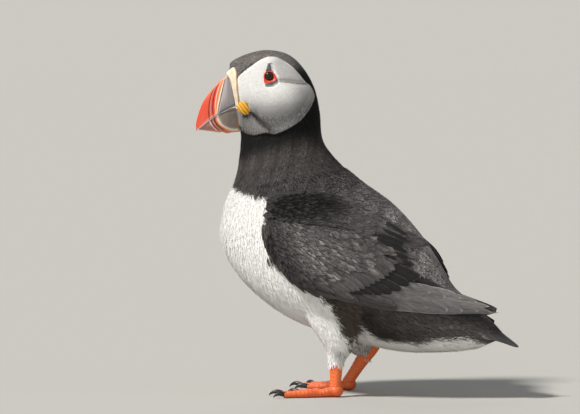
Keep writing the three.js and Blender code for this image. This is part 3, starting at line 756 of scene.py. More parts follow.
# %% Thighs
FLANK_HALF, FLANK_LEAN = 27, 0.287  # half width of the flank above the thighs, and how far its marks run back
LEGS = {  # ankle, knuckle of the toes, splay of the foot
    "left": ((21.5, 7.0, 30.0), (22.5, 6.5, 6.2), 0.16),
    "right": ((-20.5, 19.3, 30.0), (-22.0, 3.3, 6.2), -0.2),
}
THIGHS = {  # height above the ankle, forward shift, half breadth, half depth
    "left": [
        [30, 8, 14, 23], [19, 3, 13.5, 17], [9, -0.4, 11, 13], [0, -1.5, 7.8, 8.6],
        [-4.5, -0.5, 5.6, 6.5], [-8, 0.2, 4.7, 5.4], [-13, 0.6, 5.0, 5.8],
    ],
    "right": [
        [30, 16, 13, 25], [19, 12, 13, 19], [9, 10, 11.5, 14], [0, 8.5, 9, 11],
        [-4.5, 7, 6.2, 8], [-8, 5, 2.5, 4], [-13, 4, 3.4, 4.6],
    ],
}


def thigh_ring(side, t, angle):
    """Places over a thigh: rings round the leg, each an ellipse shifted forwards with height."""
    (x, y, z), _, _ = LEGS[side]
    s = smooth_curve(THIGHS[side], t)
    x, y = x + s[..., 2] * np.cos(angle), y - s[..., 1] - s[..., 3] * np.sin(angle)
    return np.stack([x, y, z + s[..., 0]], -1)


def thigh_place(side):
    """The same as a function that also lifts square to the thigh."""
    ring = partial(thigh_ring, side)

    def place(t, angle, lift=0.0):
        return ring(t, angle) + outward(ring, t, angle) * np.asarray(lift)[..., None]

    return place


def thigh_colour(points, waver=0.0):
    """White, with the dark flank wedge running on from the body, down behind to a smudge above the ankle."""
    x, y, z = points[..., 0], points[..., 1], points[..., 2]
    y = y - FLANK_LEAN * (x - FLANK_HALF)
    wedge = step(side_of_line(y, z + waver, WHITE_EDGE), -0.5, 1.2)
    wedge = wedge * step(side_of_line(y + waver, z, WEDGE_BACK), 0.6, -0.6)
    spots = np.clip(0.7 + 0.9 * streaks((y + z) * 0.5, z * 0.1, 4, 53), 0, 1.3)
    smudge = 0.75 * hump(np.hypot((y + 0.5 * (z - 30) - 12.0) / 1.3, z - 30), 3.4) * spots
    far = 0.75 * step(z, 46, 34) * np.clip(0.75 + 0.8 * streaks((y + z) * 0.4, z * 0.1, 4, 57), 0, 1)
    return mix(WHITE, mix(BLACK, BROWN, 0.8), np.where(x > 0, np.clip(np.maximum(wedge, smudge), 0, 1), far))


# %% One skin
def coat_depth(t):
    """How deep the skin lies under the tips of the coat: shallow on the face, deep on breast and belly."""
    return 0.8 + 1.7 * step(t, 7, 10)


def skin_piece():
    """Body and thigh grids joined as one mesh."""
    stations = np.concatenate([np.linspace(0, 8, 200), np.linspace(8.1, LAST, 110)])
    t, angle = np.meshgrid(stations, np.linspace(-np.pi, np.pi, 240, endpoint=False), indexing="ij")
    body = capped(body_place(t, angle, -coat_depth(t)))
    parts = [(*body, with_ends(body_colour(t, angle, 0.0, 0.955)))]
    t, angle = net((0, 4.2, 30), (-np.pi, np.pi, 48), closed=True)
    for side in SIDES:
        parts.append(coloured(thigh_place(side)(t, angle, np.full(t.shape, -1.4)), thigh_colour))
    corners, loops, starts, tint = joined(*parts)
    print("skin", len(starts), "faces")
    return write_mesh("skin", corners, loops, starts, tint)


FLESH = ["head", "neck", "trunk", "rump", "thigh_left", "thigh_right"]
finish_piece(skin_piece(), SOFT_FEATHERS, FLESH)

# %% [markdown]
# ## The coat
# The face wears the shortest feathers, hardly two millimetres long. They lengthen over the crown and the
# neck, and the breast and belly wear soft ones that hide their borders. The coat is cut into pieces by side
# and by station, so no mesh grows too heavy, and the borders of the pieces lie deep under the neighbours'
# tips.

# %% Coat of the head, neck and body
def bare_share(t, angle):
    """1 where feathers may grow and 0 on the eye ring, its plates, the rosette and the root of the bill."""
    y, z = side_view(t, angle)
    open_skin = (np.hypot(y - EYE_Y, z - EYE_Z) > ring_reach(y, z) - 0.1) | (t > 7)
    for plate in (UPPER_PLATE, LOWER_PLATE):
        to_plate, _ = away_from_line(y, z, plate + plate[:1])
        open_skin &= (to_plate > 0.45) | (t > 7)
    to_rosette = np.hypot((y - ROSETTE_Y) / 4.6, (z - ROSETTE_Z) / 3.6)
    behind_cere = ~before_cere_rim(y, z) | (t > 4)
    return (open_skin & behind_cere & ((to_rosette > 1) | (t > 5))).astype(float)


def one_side(side, reach):
    """The span of angles from the back down one side."""
    return (0.0, reach) if side == "left" else (-reach, 0.0)


def short_coat(name, side, t_span, per_mm2, length, width, depth, wanted, turn=0.25, ruffle=0.15, uneven=0.2):
    """Blades over one side of the body between two stations, where the wanted function allows."""
    spans = (t_span, one_side(side, np.pi))

    def density(t, angle):
        return per_mm2 * wanted(t, angle) * bare_share(t, angle)

    t, angle = scatter_roots(body_place, *spans, density)
    kept = density(t, angle) > 0
    t, angle = t[kept], angle[kept]
    count = len(t)
    colour = body_colour(t, angle, chance(0.5, count))
    spread = 0.07 + 0.28 * (colour[:, :1] < 0.2)
    colour = colour * np.exp(chance(spread, (count, 1)))
    sizes = chance_sizes(uneven, count, 0.4, 1.6)
    if wanted in (on_disc, off_disc):
        per_station = np.linalg.norm(ring_point(t + 0.01, angle) - ring_point(t, angle), axis=-1) / 0.01
        tip_allowed = wanted(t + length * sizes / per_station, angle) > 0
        sizes = np.where(tip_allowed, sizes, 0.12)
    lifts = (-depth, ruffle * rng.normal(0.2, 1, count))
    return lay_feathers(
        f"{name}_{side}", body_place, t, angle, BLADE, length * sizes, width * sizes, lifts,
        chance(turn, count), colour, tip=0.12, spans=spans,
    )


def on_disc(t, angle):
    """1 on the pale disc of the face."""
    return ((in_disc(*side_view(t, angle)) < 0.985) & (t < 7.7)).astype(float)


def off_disc(t, angle):
    """1 on crown, nape and neck."""
    return ((in_disc(*side_view(t, angle)) > 1.0) | (t > 7.7)).astype(float)


UNDER_WING = [[-38, 150], [-30, 95], [-20, 84], [5, 70], [40, 63], [120, 60]]


def below_back(t, angle):
    """1 on breast, belly and flanks, 0 under the folded wings and on the back."""
    under_wing = side_of_line(*side_view(t, angle), UNDER_WING) > 0
    return (~under_wing | (t < 10.2)).astype(float)


# name, stations, blades per mm2, length, width, depth of the root, where, unevenness of way, rise, size
COATS = [
    ("face_coat", (0.25, 7.7), 9.0, 2.2, 0.42, 0.8, on_disc, 0.12, 0.06, 0.08),
    ("crown_coat", (0.25, 8.6), 8.0, 2.9, 0.45, 0.9, off_disc, 0.18, 0.1),
    ("neck_coat", (8.0, 10.9), 5.0, 5.0, 0.6, 1.6, off_disc, 0.22, 0.2),
    ("body_coat", (10.3, 14.5), 3.4, 7.0, 0.8, 2.2, below_back, 0.25, 0.28),
    ("rear_coat", (14.0, 17.9), 3.0, 7.5, 0.85, 2.2, below_back, 0.25, 0.28),
]
for side in SIDES:
    for name, *numbers in COATS:
        finish_piece(short_coat(name, side, *numbers), SOFT_FEATHERS, [])


# %% [markdown]
# ## The folded wings
# A folded wing is a stack of feathers on a thin core of bone and flesh. The core is a slab worked out from
# the frame's own stations. Flank and wing together make one surface seen from the side, so a small table of
# how far it stands out, for every place of the side view, carries the wing feathers: any feather can then
# be told by where its root and its tip are in the side view. The right wing is the mirror of the left, with
# its tip hung lower.

# %% Wing form
WING = [  # lower edge y, z, upper edge y, z, outer face at lower edge, midway and upper edge, thickness
    [-37.6, 104.5, -36.9, 110.5, 42.0, 42.3, 42.0, 2.0],
    [-35.5, 96.5, -31.0, 117.5, 43.4, 45.5, 43.4, 6.0],
    [-27.5, 86.5, -17.5, 122.5, 44.8, 48.3, 43.0, 8.0],
    [-14.0, 72.5, 2.0, 122.5, 45.2, 49.8, 40.5, 8.5],
    [4.0, 65.0, 24.0, 114.0, 45.2, 49.0, 36.5, 8.0],
    [25.0, 61.5, 42.5, 100.0, 43.4, 45.5, 32.5, 7.0],
    [46.5, 56.5, 58.5, 84.5, 38.6, 38.8, 27.5, 6.0],
    [66.5, 54.3, 74.0, 72.8, 32.0, 30.5, 20.5, 5.0],
    [87.0, 53.2, 91.5, 65.5, 22.5, 21.0, 14.5, 4.0],
    [101.0, 53.3, 103.5, 60.8, 15.8, 15.0, 11.8, 3.0],
    [109.8, 55.6, 110.0, 57.4, 11.5, 11.3, 11.0, 1.6],
]
TIP_DROPS, INNER_RISES = 9, 7
MIRROR = np.array([-1, 1, 1])


def wing_face(t, across):
    """Outer face of the left wing: the parabola through its lower edge, midway and upper edge values."""
    s = smooth_curve(WING, t)
    back = 1 - across
    x = s[..., 4] * back * (back - across) + s[..., 6] * across * (across - back)
    x = x + 4 * s[..., 5] * across * back
    y, z = s[..., 0] + (s[..., 2] - s[..., 0]) * across, s[..., 1] + (s[..., 3] - s[..., 1]) * across
    return np.stack([x, y, z], -1)


def hung(points, across):
    """Places of the left wing moved as the right wing hangs: its tip lower, its innermost feathers higher."""
    y = points[..., 1]
    drop = TIP_DROPS * step(y, 50, 112)
    rise = INNER_RISES * across**2 * hump(y - 54, 17)
    return points + np.stack([0 * y, 0.8 * rise - 0.6 * drop, rise - drop], -1)


def wing_core_tone(corners):
    """Mantle colour in dark and light streaks."""
    return MANTLE * (0.6 + 0.25 * streaks(corners[:, 2] * 0.25, corners[:, 1] * 0.03, 5, 71))[:, None]


def wing_core(side):
    """A thin closed slab, a little smaller than the wing all round."""
    t, turn = net((0.25, 9.8, 90), (0, 2 * np.pi, 40), closed=True)
    across = 0.5 - 0.47 * np.cos(turn)
    thick = smooth_curve(WING, t)[..., 7] / 2
    face = wing_face(t, across)
    face[..., 0] += np.maximum(thick - 0.9, 0.3) * np.sin(turn) - thick - 1.8
    if side == "right":
        face = hung(face, across) * MIRROR
    piece = write_mesh(f"wing_core_{side}", *coloured(face, wing_core_tone))
    return finish_piece(piece, SOFT_FEATHERS, [f"wing_{side}", f"primaries_{side}"])


for side in SIDES:
    wing_core(side)

# %% How far the flank stands out
FLANK_Y, FLANK_Z, FLANK_CELL = -60.0, 0.0, 0.75
FLANK_ROWS, FLANK_COLUMNS = 260, 240


def cell_of(value, first, count):
    """The cells of the table's row or column that values of the side view fall in."""
    return np.rint((value - first) / FLANK_CELL).astype(int).ravel().clip(0, count - 1)


def neighbours(table):
    """The four neighbours of every cell, below, above, beside it and before it."""
    around = np.pad(table, 1, mode="edge")
    return around[2:, 1:-1], around[:-2, 1:-1], around[1:-1, 2:], around[1:-1, :-2]


def flank_table(side):
    """For each cell of the side view, the outermost of body and wing there, spread outwards and smoothed."""
    station, across = net((0, 10, 900), (0, 1, 300))
    wing = wing_face(station, across)
    thigh = thigh_ring(side, *net((0, 3, 200), (0, 2 * np.pi, 300)))
    if side == "right":
        wing, thigh = hung(wing, across), thigh * MIRROR
    table = np.full((FLANK_ROWS, FLANK_COLUMNS), -1e3)
    for surface in (ring_point(*net((8, LAST, 900), (0, np.pi, 500))), wing, thigh):
        row = cell_of(surface[..., 1], FLANK_Y, FLANK_ROWS)
        column = cell_of(surface[..., 2], FLANK_Z, FLANK_COLUMNS)
        np.maximum.at(table, (row, column), surface[..., 0].ravel())
    for _ in range(60):
        table = np.where(table < -500, np.maximum.reduce(neighbours(table)) - 0.9 * FLANK_CELL, table)
    for _ in range(4):
        table = 0.4 * table + 0.15 * sum(neighbours(table))
    return table


def sample(grid, y, z):
    """Value of a table of the side view at y and z, mixed evenly between its four nearest cells."""
    row = np.clip((y - FLANK_Y) / FLANK_CELL, 0, FLANK_ROWS - 1.001)
    column = np.clip((z - FLANK_Z) / FLANK_CELL, 0, FLANK_COLUMNS - 1.001)
    i, j = row.astype(int), column.astype(int)
    u, v = row - i, column - j
    near = grid[i, j] * (1 - v) + grid[i, j + 1] * v
    return near * (1 - u) + (grid[i + 1, j] * (1 - v) + grid[i + 1, j + 1] * v) * u


def wing_edges(y):
    """Heights of the wing's lower and upper edge in the side view."""
    stations = np.array(WING)
    return np.interp(y, stations[:, 0], stations[:, 1]), np.interp(y, stations[:, 2], stations[:, 3])


def flank_place(side):
    """A function that gives places on the flank for side view y and z, lifted square to the flank."""
    table = flank_table(side)
    slope_y, slope_z = np.gradient(table, FLANK_CELL)
    print(side, "flank stands out at most", table.max().round(1), "mm")

    def place(y, z, lift=0.0):
        if side == "right":
            low, high = wing_edges(y)
            across = np.clip((z - low) / np.maximum(high - low, 2), 0, 1)
            moved = hung(np.stack(np.broadcast_arrays(0 * y, y, z), -1), across)
            y, z = moved[..., 1], moved[..., 2]
        x = sample(table, y, z)
        normal = np.stack([np.ones_like(x), -sample(slope_y, y, z), -sample(slope_z, y, z)], -1)
        normal /= np.linalg.norm(normal, axis=-1, keepdims=True)
        point = np.stack(np.broadcast_arrays(x, y, z), -1) + normal * np.asarray(lift)[..., None]
        return point if side == "left" else point * MIRROR

    return place


FLANKS = {side: flank_place(side) for side in SIDES}


# %% Laying out wing feathers
SHAKE = 0.3  # how far roots stray from their rows, as a share of a step


def between(place, roots, tips):
    """Lengths and turns of feathers from where their roots and tips are, measured in the surface itself."""
    (u, v), (tip_u, tip_v) = np.array(roots, float).T, np.array(tips, float).T
    long_u, skew, long_v = surface_scale(place, u, v)
    down = (tip_u - u) * long_u + (tip_v - v) * skew
    side = (tip_v - v) * long_v
    return u, v, np.hypot(down, side), np.arctan2(side, down)


def inside(y, z, outline):
    """True inside an outline: from there a line to the right crosses its edges an odd number of times."""
    odd = np.zeros(np.shape(y), bool)
    for (y0, z0), (y1, z1) in zip(outline, outline[1:] + outline[:1]):
        if z0 != z1:
            crossing = (z0 > z) != (z1 > z)
            odd ^= crossing & (y < (y1 - y0) * (z - z0) / (z1 - z0) + y0)
    return odd


def staggered(outline, flow, along_step, across_step):
    """Roots in rows along the flow, every other row half a step on, shaken a little, inside an outline."""
    corners = np.array(outline)
    c, s = np.cos(flow), np.sin(flow)
    along, across = corners @ [c, s], corners @ [-s, c]
    rows = np.arange(across.min(), across.max(), across_step)
    steps = np.arange(along.min() - along_step, along.max(), along_step)
    p, q = np.meshgrid(steps, rows)
    p = p + along_step * 0.5 * (np.arange(len(rows)) % 2)[:, None] + along_step * chance(SHAKE, p.shape)
    q = q + across_step * chance(SHAKE, q.shape)
    y, z = (p * c - q * s).ravel(), (p * s + q * c).ravel()
    keep = inside(y, z, outline)
    return y[keep], z[keep]


def wing_colour(y, z, tone=1.0, uneven=0.2):
    """Brown-black, mottled: dark along the front edge, rusty at the wrist, greyer and flecked between, and
    lighter over the middle in a painted sheen.
    """
    # Painted sheen: the middle of the wing is lighter, as where the light glances off it.
    painted_sheen = hump(np.hypot((y - 2) / 28, (z - 90) / 14), 1.0)
    mottle = streaks(y * 0.09, z * 0.12, 5, 31)
    front = step(y + 0.5 * (z - 100), -12, -27)
    value = tone * (1 + 0.35 * painted_sheen) * np.exp(0.5 * mottle + chance(uneven, y.shape)) * (1 - 0.68 * front)
    to_flecks = away_from_line(y, z, [[-8, 97], [-4.5, 87], [5, 80]])[0]
    value = value * (1 + 2.2 * hump(to_flecks, 2.0) * (rng.random(y.shape) > 0.6))
    wrist = hump(np.hypot(y + 34, z - 109.5), 4.0)
    shade = mix(MANTLE, BROWN * 0.6, np.clip(0.05 + chance(0.12, y.shape) + 0.9 * wrist, 0, 1))
    return shade * np.clip(value + 0.8 * wrist, 0.12, 4)[..., None]


SMALL_VANE = vane_pattern(6, 5, 0.3, sharp=1.3)
COVERT = vane_pattern(9, 7, 0.4, sharp=1.25, rim=0.7)
QUILL = vane_pattern(24, 17, 0.72, root=0.5, sharp=1.9, rim=0.86)
POINTED = vane_pattern(22, 11, 0.55, root=0.5, sharp=1.3, rim=0.75)
HAND_QUILL = vane_pattern(26, 21, 0.6, root=0.5, sharp=1.7, skew=0.34, rim=0.9)
FAR_WING_TOP = 4.5  # the far wing's own quills cover this much below its upper edge


def kept_on(side, y, z, length, turn):
    """False for feathers of the right wing that would stand over its upper edge, where its ridge lies."""
    if side == "left":
        return np.full(y.shape, True)
    tip_y, tip_z = y + length * np.cos(turn), z + length * np.sin(turn)
    root_below, tip_below = (high < wing_edges(at)[1] - FAR_WING_TOP for at, high in ((y, z), (tip_y, tip_z)))
    return (tip_y < 18) | (root_below & tip_below)


def wing_layer(
    name, y, z, pattern, length, width, turn, lifts, colour, fringe=0.0, camber=0.0, tilt=0.0, tip=0.0,
    material=None
):
    """One layer of feathers on both wings, from roots given in the left side view."""
    length, width, turn, low, high = (np.broadcast_to(value, y.shape)
        for value in (length, width, turn, *lifts))
    for side in SIDES:
        k = kept_on(side, y, z, length, turn)
        if not k.any():
            continue
        piece = lay_feathers(
            f"{name}_{side}", FLANKS[side], y[k], z[k], pattern, length[k], width[k], (low[k], high[k]),
            turn[k], colour[k], fringe=fringe, tip=tip, camber=camber, tilt=tilt, flip=side == "left",
        )
        finish_piece(piece, material or BROAD_FEATHERS)


# %% [markdown]
# ## Quills of the wing
# The long stiff feathers come first, lowest in the stack: the primaries, which make the pointed tip, two
# rounded covers over their roots, then the dark secondaries and tertials. Each is told by its root and its
# tip.

# %% Primaries, secondaries and tertials
PRIMARIES = [  # root y, z, tip y, z, width, from the outermost, lowest in the stack, to the innermost
    [[38, 58.0], [110.3, 56.3], 7.5],
    [[36, 60.0], [107.0, 58.2], 9.5],
    [[34, 61.5], [99.0, 60.2], 12.0],
    [[32, 63.0], [90.0, 61.4], 14.5],
    [[30, 64.5], [81.5, 62.6], 16.5],
    [[34, 66.0], [105.0, 61.2], 5.5],
    [[33, 67.5], [97.5, 64.8], 7.5],
    [[30, 68.0], [88.0, 68.0], 10.0],
    [[28, 68.5], [79.0, 69.6], 12.0],
    [[26, 69.0], [70.0, 72.0], 11.0],
]
PRIMARY_COVERS = [  # root, tip, width
    [[8, 68.5], [52.0, 58.8], 8.5],
    [[14, 70.0], [50.0, 60.8], 7.5],
    [[-12, 77.0], [27.5, 63.6], 8.5],
    [[-8, 79.0], [24.5, 65.4], 7.0],
]
SECONDARY_TIPS = [[25.5, 67.4], [31.8, 67.8], [37.5, 68.1], [43.0, 68.3], [48.5, 68.5], [53.8, 70.3],
    [58.0, 73.2]]
SECONDARY_TIPS += [[60.6, 75.6], [63.1, 77.2]]
TERTIALS = [  # root, tip, width, from the lowest to the highest
    [[34, 91], [60.4, 80.4], 4.6],
    [[35, 95], [58.4, 84.8], 4.6],
    [[36, 98], [55.2, 89.0], 4.4],
    [[37, 101], [53.4, 92.6], 4.2],
]
FRONT_COVERS = [  # root, tip, width: the narrow feathers along the front edge
    [[-36.6, 111], [-34.2, 101], 2.2],
    [[-35.8, 107], [-32.6, 96], 2.2],
    [[-34.4, 102], [-30.4, 91.5], 2.3],
    [[-33.2, 97.5], [-27.0, 87.2], 2.3],
    [[-31, 92.5], [-22.4, 82], 2.4],
    [[-33, 100], [-27.5, 89], 2.6],
    [[-28, 87.5], [-14, 73.6], 2.4],
    [[-30, 93], [-20, 81.5], 2.6],
    [[-24, 82.5], [-6, 68.8], 2.6],
    [[-18, 77], [3, 66.2], 3.0],
    [[-25, 87], [-9, 72.5], 2.8],
    [[-18, 80], [2, 68.6], 3.2],
    [[-9, 72.5], [13, 65.8], 3.4],
    [[-11, 75.5], [10, 68.4], 3.6],
]
GREATER_TIPS = [[9.5, 68.6], [16.2, 68.8], [22.6, 69.6], [29.0, 70.6], [35.3, 73.2], [41.0, 76.2],
    [45.9, 79.3], [48.6, 83.5]]
GREATER_TIPS = smooth_curve(GREATER_TIPS, np.linspace(0, 7, 15)).tolist()


def behind_tips(tips, length, start_turn, end_turn, width):
    """Feathers from their tips: each root lies a length behind, at turns spread evenly over the tips."""
    turns = np.radians(np.linspace(start_turn, end_turn, len(tips)))
    return [
        [[y - length * np.cos(a), z - length * np.sin(a)], [y, z], width] for (y, z), a in zip(tips, turns)
    ]


def quill_layer(name, table, low, high, tone, fringe, camber=0.7, tilt=0.35, tip=0.0, pattern=None,
        uneven=0.1):
    """Feathers from a table of roots, tips and widths; each lies a little over the one before."""
    roots, tips, widths = ([row[k] for row in table] for k in range(3))
    y, z, length, turn = between(FLANKS["left"], roots, tips)
    order = np.arange(len(table)) / len(table)
    colour = MANTLE * (tone * np.exp(chance(uneven, len(y))))[:, None]
    lifts = (low + 0.8 * order, high + 0.8 * order)
    wing_layer(name, y, z, pattern or QUILL, length, widths, turn, lifts, colour, fringe, camber, tilt, tip)


quill_layer("primaries_vanes", PRIMARIES, -2.2, -0.6, 2.6, 1.3, camber=0.3, tilt=0.4, pattern=HAND_QUILL)
quill_layer("primary_covers", PRIMARY_COVERS, -1.8, 0.0, 1.3, 1.2, tilt=0.2, uneven=0.2)
SECONDARIES = behind_tips(SECONDARY_TIPS, 30, -18, -29, 5.6)
quill_layer("secondary_vanes", SECONDARIES, -1.4, 0.1, 0.25, 6.5, tilt=0.5)
quill_layer("tertial_vanes", TERTIALS, -0.8, 1.0, 0.3, 4.5, camber=0.8, tilt=0.4, pattern=POINTED)
GREATER_COVERS = behind_tips(GREATER_TIPS, 26, -26, -36, 6.0)
quill_layer(
    "greater_covers", GREATER_COVERS, -0.6, 0.9, 1.3, 0.1, camber=0.3, tilt=0.25, tip=0.1, pattern=POINTED
)
quill_layer("front_covers", FRONT_COVERS, -0.6, 1.0, 0.45, 2.2, camber=0.4, tilt=0.2, uneven=0.3)

# %% Coverts
FRONT_EDGE = [[-37.2, 112], [-36.4, 107], [-34.3, 97.7], [-31, 90.5], [-24.8, 84.3], [-19, 77.3], [-11, 69.8]]
FRONT_EDGE += [[-1.2, 66.8], [9.5, 63.9], [20.3, 61.5]]
WING_FLOW = np.radians(-24)


def wing_flow(y, z):
    """Along the leading edge near it, along the quills further in."""
    to_edge, _ = away_from_line(y, z, FRONT_EDGE)
    edge = np.radians(np.interp(y, [-36, -30, -20, -10, 0, 20], [-80, -58, -48, -40, -22, -14]))
    return edge + (WING_FLOW - edge) * step(to_edge, 1, 16) + chance(0.09, y.shape)


COVERT_ZONES = [  # name, outline, step along, step across, length, width, root lift, tip lift
    [
        "upper_coverts",
        [[4, 92], [26, 84], [44, 90], [50, 99], [30, 106], [6, 106]],
        3.6, 2.7, 14.0, 4.4, -0.2, 1.7,
    ],
    [
        "median_coverts",
        [[-34, 90], [-24, 83.5], [-10, 75], [4, 77], [14, 82], [26, 88], [34, 98], [30, 106], [0, 110],
         [-20, 104]],
        2.7, 2.1, 10.5, 3.4, -0.2, 1.7,
    ],
    [
        "lesser_coverts",
        [[-35.5, 111], [-34, 105], [-32, 97], [-29, 90], [-23, 84], [-15, 79], [-8, 83], [2, 92],
         [4, 108], [-16, 112], [-33, 114]],
        1.9, 1.5, 7.2, 2.4, 0.0, 1.7,
    ],
]
for name, outline, along_step, across_step, length, width, low, high in COVERT_ZONES:
    y, z = staggered(outline, WING_FLOW, along_step, across_step)
    from_edge = away_from_line(y, z, FRONT_EDGE)[0]
    sizes = chance_sizes(0.12, len(y)) * (0.55 + 0.45 * step(from_edge, 0, 9))
    colour = wing_colour(y, z, 1.15, 0.42)
    flow = wing_flow(y, z)
    length, width = length * sizes, width * sizes
    wing_layer(name, y, z, COVERT, length, width, flow, (low, high), colour, 0.25, 0.2, 0.2, 0.1)

# %% [markdown]
# ## Shoulder and back
# The scapulars grow on the shoulder and hang over the upper edge of the wing, long and dark at their ends.
# The back wears small rounded feathers, each with a faint greyish rim.

# %% Scapulars
SCAPULAR_LOW = [[-34, 116], [-16, 112.5], [1, 111], [29, 107], [57, 98.5]]
SCAPULAR_HIGH = [[-30, 128], [-10, 131], [10, 127], [28, 119], [44, 108.5], [60, 99]]
LONG_SCAPULARS = [  # root, tip, width
    [[33.0, 103], [50.3, 95.6], 4.2],
    [[32.5, 105.5], [51.0, 97.6], 4.4],
    [[34.0, 109], [52.0, 99.8], 4.4],
    [[36.5, 113], [51.0, 102.6], 3.6],
]


def scapular_flow(y, z):
    """Between the flows of the lower and the upper border of the shoulder."""
    low_edge, high_edge = np.array(SCAPULAR_LOW).T, np.array(SCAPULAR_HIGH).T
    low = np.radians(np.interp(y, low_edge[0], [-11, -6, -8, -17, -22]))
    high = np.radians(np.interp(y, high_edge[0], [5, -6, -20, -30, -34, -36]))
    return low + (high - low) * np.clip((z - np.interp(y, *low_edge)) / 16, 0, 1) + chance(0.08, y.shape)


def shoulder_tone(y, z):
    """Black in the hollow of the shoulder, velvet feathers under a painted shadow of the head, with a
    brownish lower rim, greyer and mottled behind it.
    """
    # Painted shadow of the head over the hollow of the shoulder, on velvet-black feathers.
    hollow = step(np.hypot((y + 14) / 24, (z - 121.5) / 10), 1.25, 0.7)
    rim = hump(away_from_line(y, z, [[-33, 116], [-18, 112.8], [-5, 114.2], [3, 119.5]])[0], 1.1)
    mottle = np.exp(0.3 * streaks(y * 0.1, z * 0.12, 5, 47))
    grey = 0.7 + 0.7 * step(y, 0, 28) + 0.5 * step(y, 38, 58) * step(y, 78, 62)
    return grey * mottle * (1 - 0.93 * hollow) + 0.5 * rim


outline = SCAPULAR_LOW + SCAPULAR_HIGH[::-1]
y, z = staggered(outline, np.radians(-18), 2.7, 2.1)
y, z = y - 3, z + 1
sizes = chance_sizes(0.1, len(y)) * (0.75 + 0.5 * step(y, -30, 30))
colour = MANTLE * (shoulder_tone(y, z) * np.exp(chance(0.25, len(y))))[:, None]
flow = scapular_flow(y, z)
length, width = 10.5 * sizes, 3.6 * sizes
wing_layer("scapulars", y, z, COVERT, length, width, flow, (0.0, 2.0), colour, 0.2, 0.2, 0.15, 0.1)
quill_layer("long_scapulars", LONG_SCAPULARS, 0.6, 2.0, 0.28, 4.5, tilt=0.3, pattern=POINTED)

# %% Ridge quills of the far wing
RIDGE = [
    [-20, 34.0, 115.5], [-24, 42.6, 108.4], [-28, 51.2, 100.4], [-31, 59.7, 91.8], [-34, 66, 80.4],
    [-34.5, 69.8, 72.8]
]
RIDGE_SIDE = np.array([-0.8, -0.35, -0.49])


def ridge_place(along, beside, lift=0.0):
    """Sheet of the far wing's innermost quills: along its ridge from 0 to 5, and millimetres beside it."""
    along, beside, lift = np.broadcast_arrays(along, beside, np.asarray(lift, float))
    ridge = smooth_curve(RIDGE, along)
    way = smooth_curve(RIDGE, along + 0.05) - smooth_curve(RIDGE, along - 0.05)
    square = np.cross(way, RIDGE_SIDE)
    square /= np.maximum(np.linalg.norm(square, axis=-1, keepdims=True), 1e-9)
    return ridge + RIDGE_SIDE * beside[..., None] + square * lift[..., None]


# end on the ridge, tone
RIDGE_QUILLS = [[5.0, 1.1], [4.9, 0.6], [4.65, 0.95], [4.3, 0.5], [3.9, 0.7], [3.4, 0.35]]


def ridge_quills():
    """Quills side by side, each as long as its way along the ridge and lying a little over the one before."""
    ends, tones = np.array(RIDGE_QUILLS).T
    count = len(ends)
    ways = smooth_curve(RIDGE, np.linspace(0.3, ends, 40))
    length = np.linalg.norm(np.diff(ways, axis=0), axis=-1).sum(0)
    order = 0.12 * np.arange(count)
    piece = lay_feathers(
        "ridge_quills_right", ridge_place, np.full(count, 0.3), np.linspace(11.5, 2.6, count), QUILL,
        length, 6.0, (order - 0.5, order), 0.0, MANTLE * tones[:, None], fringe=1.8, camber=0.6, tilt=0.3,
        spans=((0, 5), (0, 12)), flip=True,
    )
    return finish_piece(piece, BROAD_FEATHERS)


ridge_quills()


# %% Back and rump
SHOULDER_EDGE = [[-60, 140], [-36, 128], [-30, 122], [0, 117], [28, 110], [44, 92], [58, 74], [76, 62],
    [120, 50]]


def on_back(t, angle):
    """1 above the shoulders' lower border and on the rump, 0 elsewhere."""
    return ((side_of_line(*side_view(t, angle), SHOULDER_EDGE) > 0) & (t > 9.4)).astype(float)


def back_roots(side, per_mm2, cells):
    """Spans, stations and angles of the back's dark feathers on one side."""
    spans = ((9.2, 17.6), one_side(side, 1.9))
    t, angle = scatter_roots(body_place, *spans, lambda a, b: per_mm2 * on_back(a, b), cells)
    dark = body_colour(t, angle)[:, 0] < 0.3
    return spans, t[dark], angle[dark]


def back_vanes(side):
    """Small rounded vanes over one side of the back."""
    spans, t, angle = back_roots(side, 0.62, 110)
    count = len(t)
    sizes = chance_sizes(0.15, count) * (0.8 + 0.4 * step(t, 9.5, 13))
    tone = shoulder_tone(*side_view(t, angle)) * (0.75 + 0.4 * step(t, 9.4, 11))
    colour = body_colour(t, angle) * tone[:, None] * np.exp(chance(0.2, (count, 1)))
    piece = lay_feathers(
        f"back_vanes_{side}", body_place, t, angle, SMALL_VANE, 5.6 * sizes, 2.3 * sizes, (-0.8, 0.9),
        chance(0.2, count), colour, fringe=0.9, camber=0.2, tip=0.25, spans=spans,
    )
    return finish_piece(piece, BROAD_FEATHERS)


for side in SIDES:
    back_vanes(side)

# %% Loose barbs over wings and shoulders
BARB_ZONE = [[-34, 108], [-32, 96], [-23, 85.5], [-8, 78], [6, 80], [20, 88], [34, 98], [50, 104], [44, 110],
    [26, 121]]
BARB_ZONE += [[0, 131], [-28, 128], [-34, 117]]


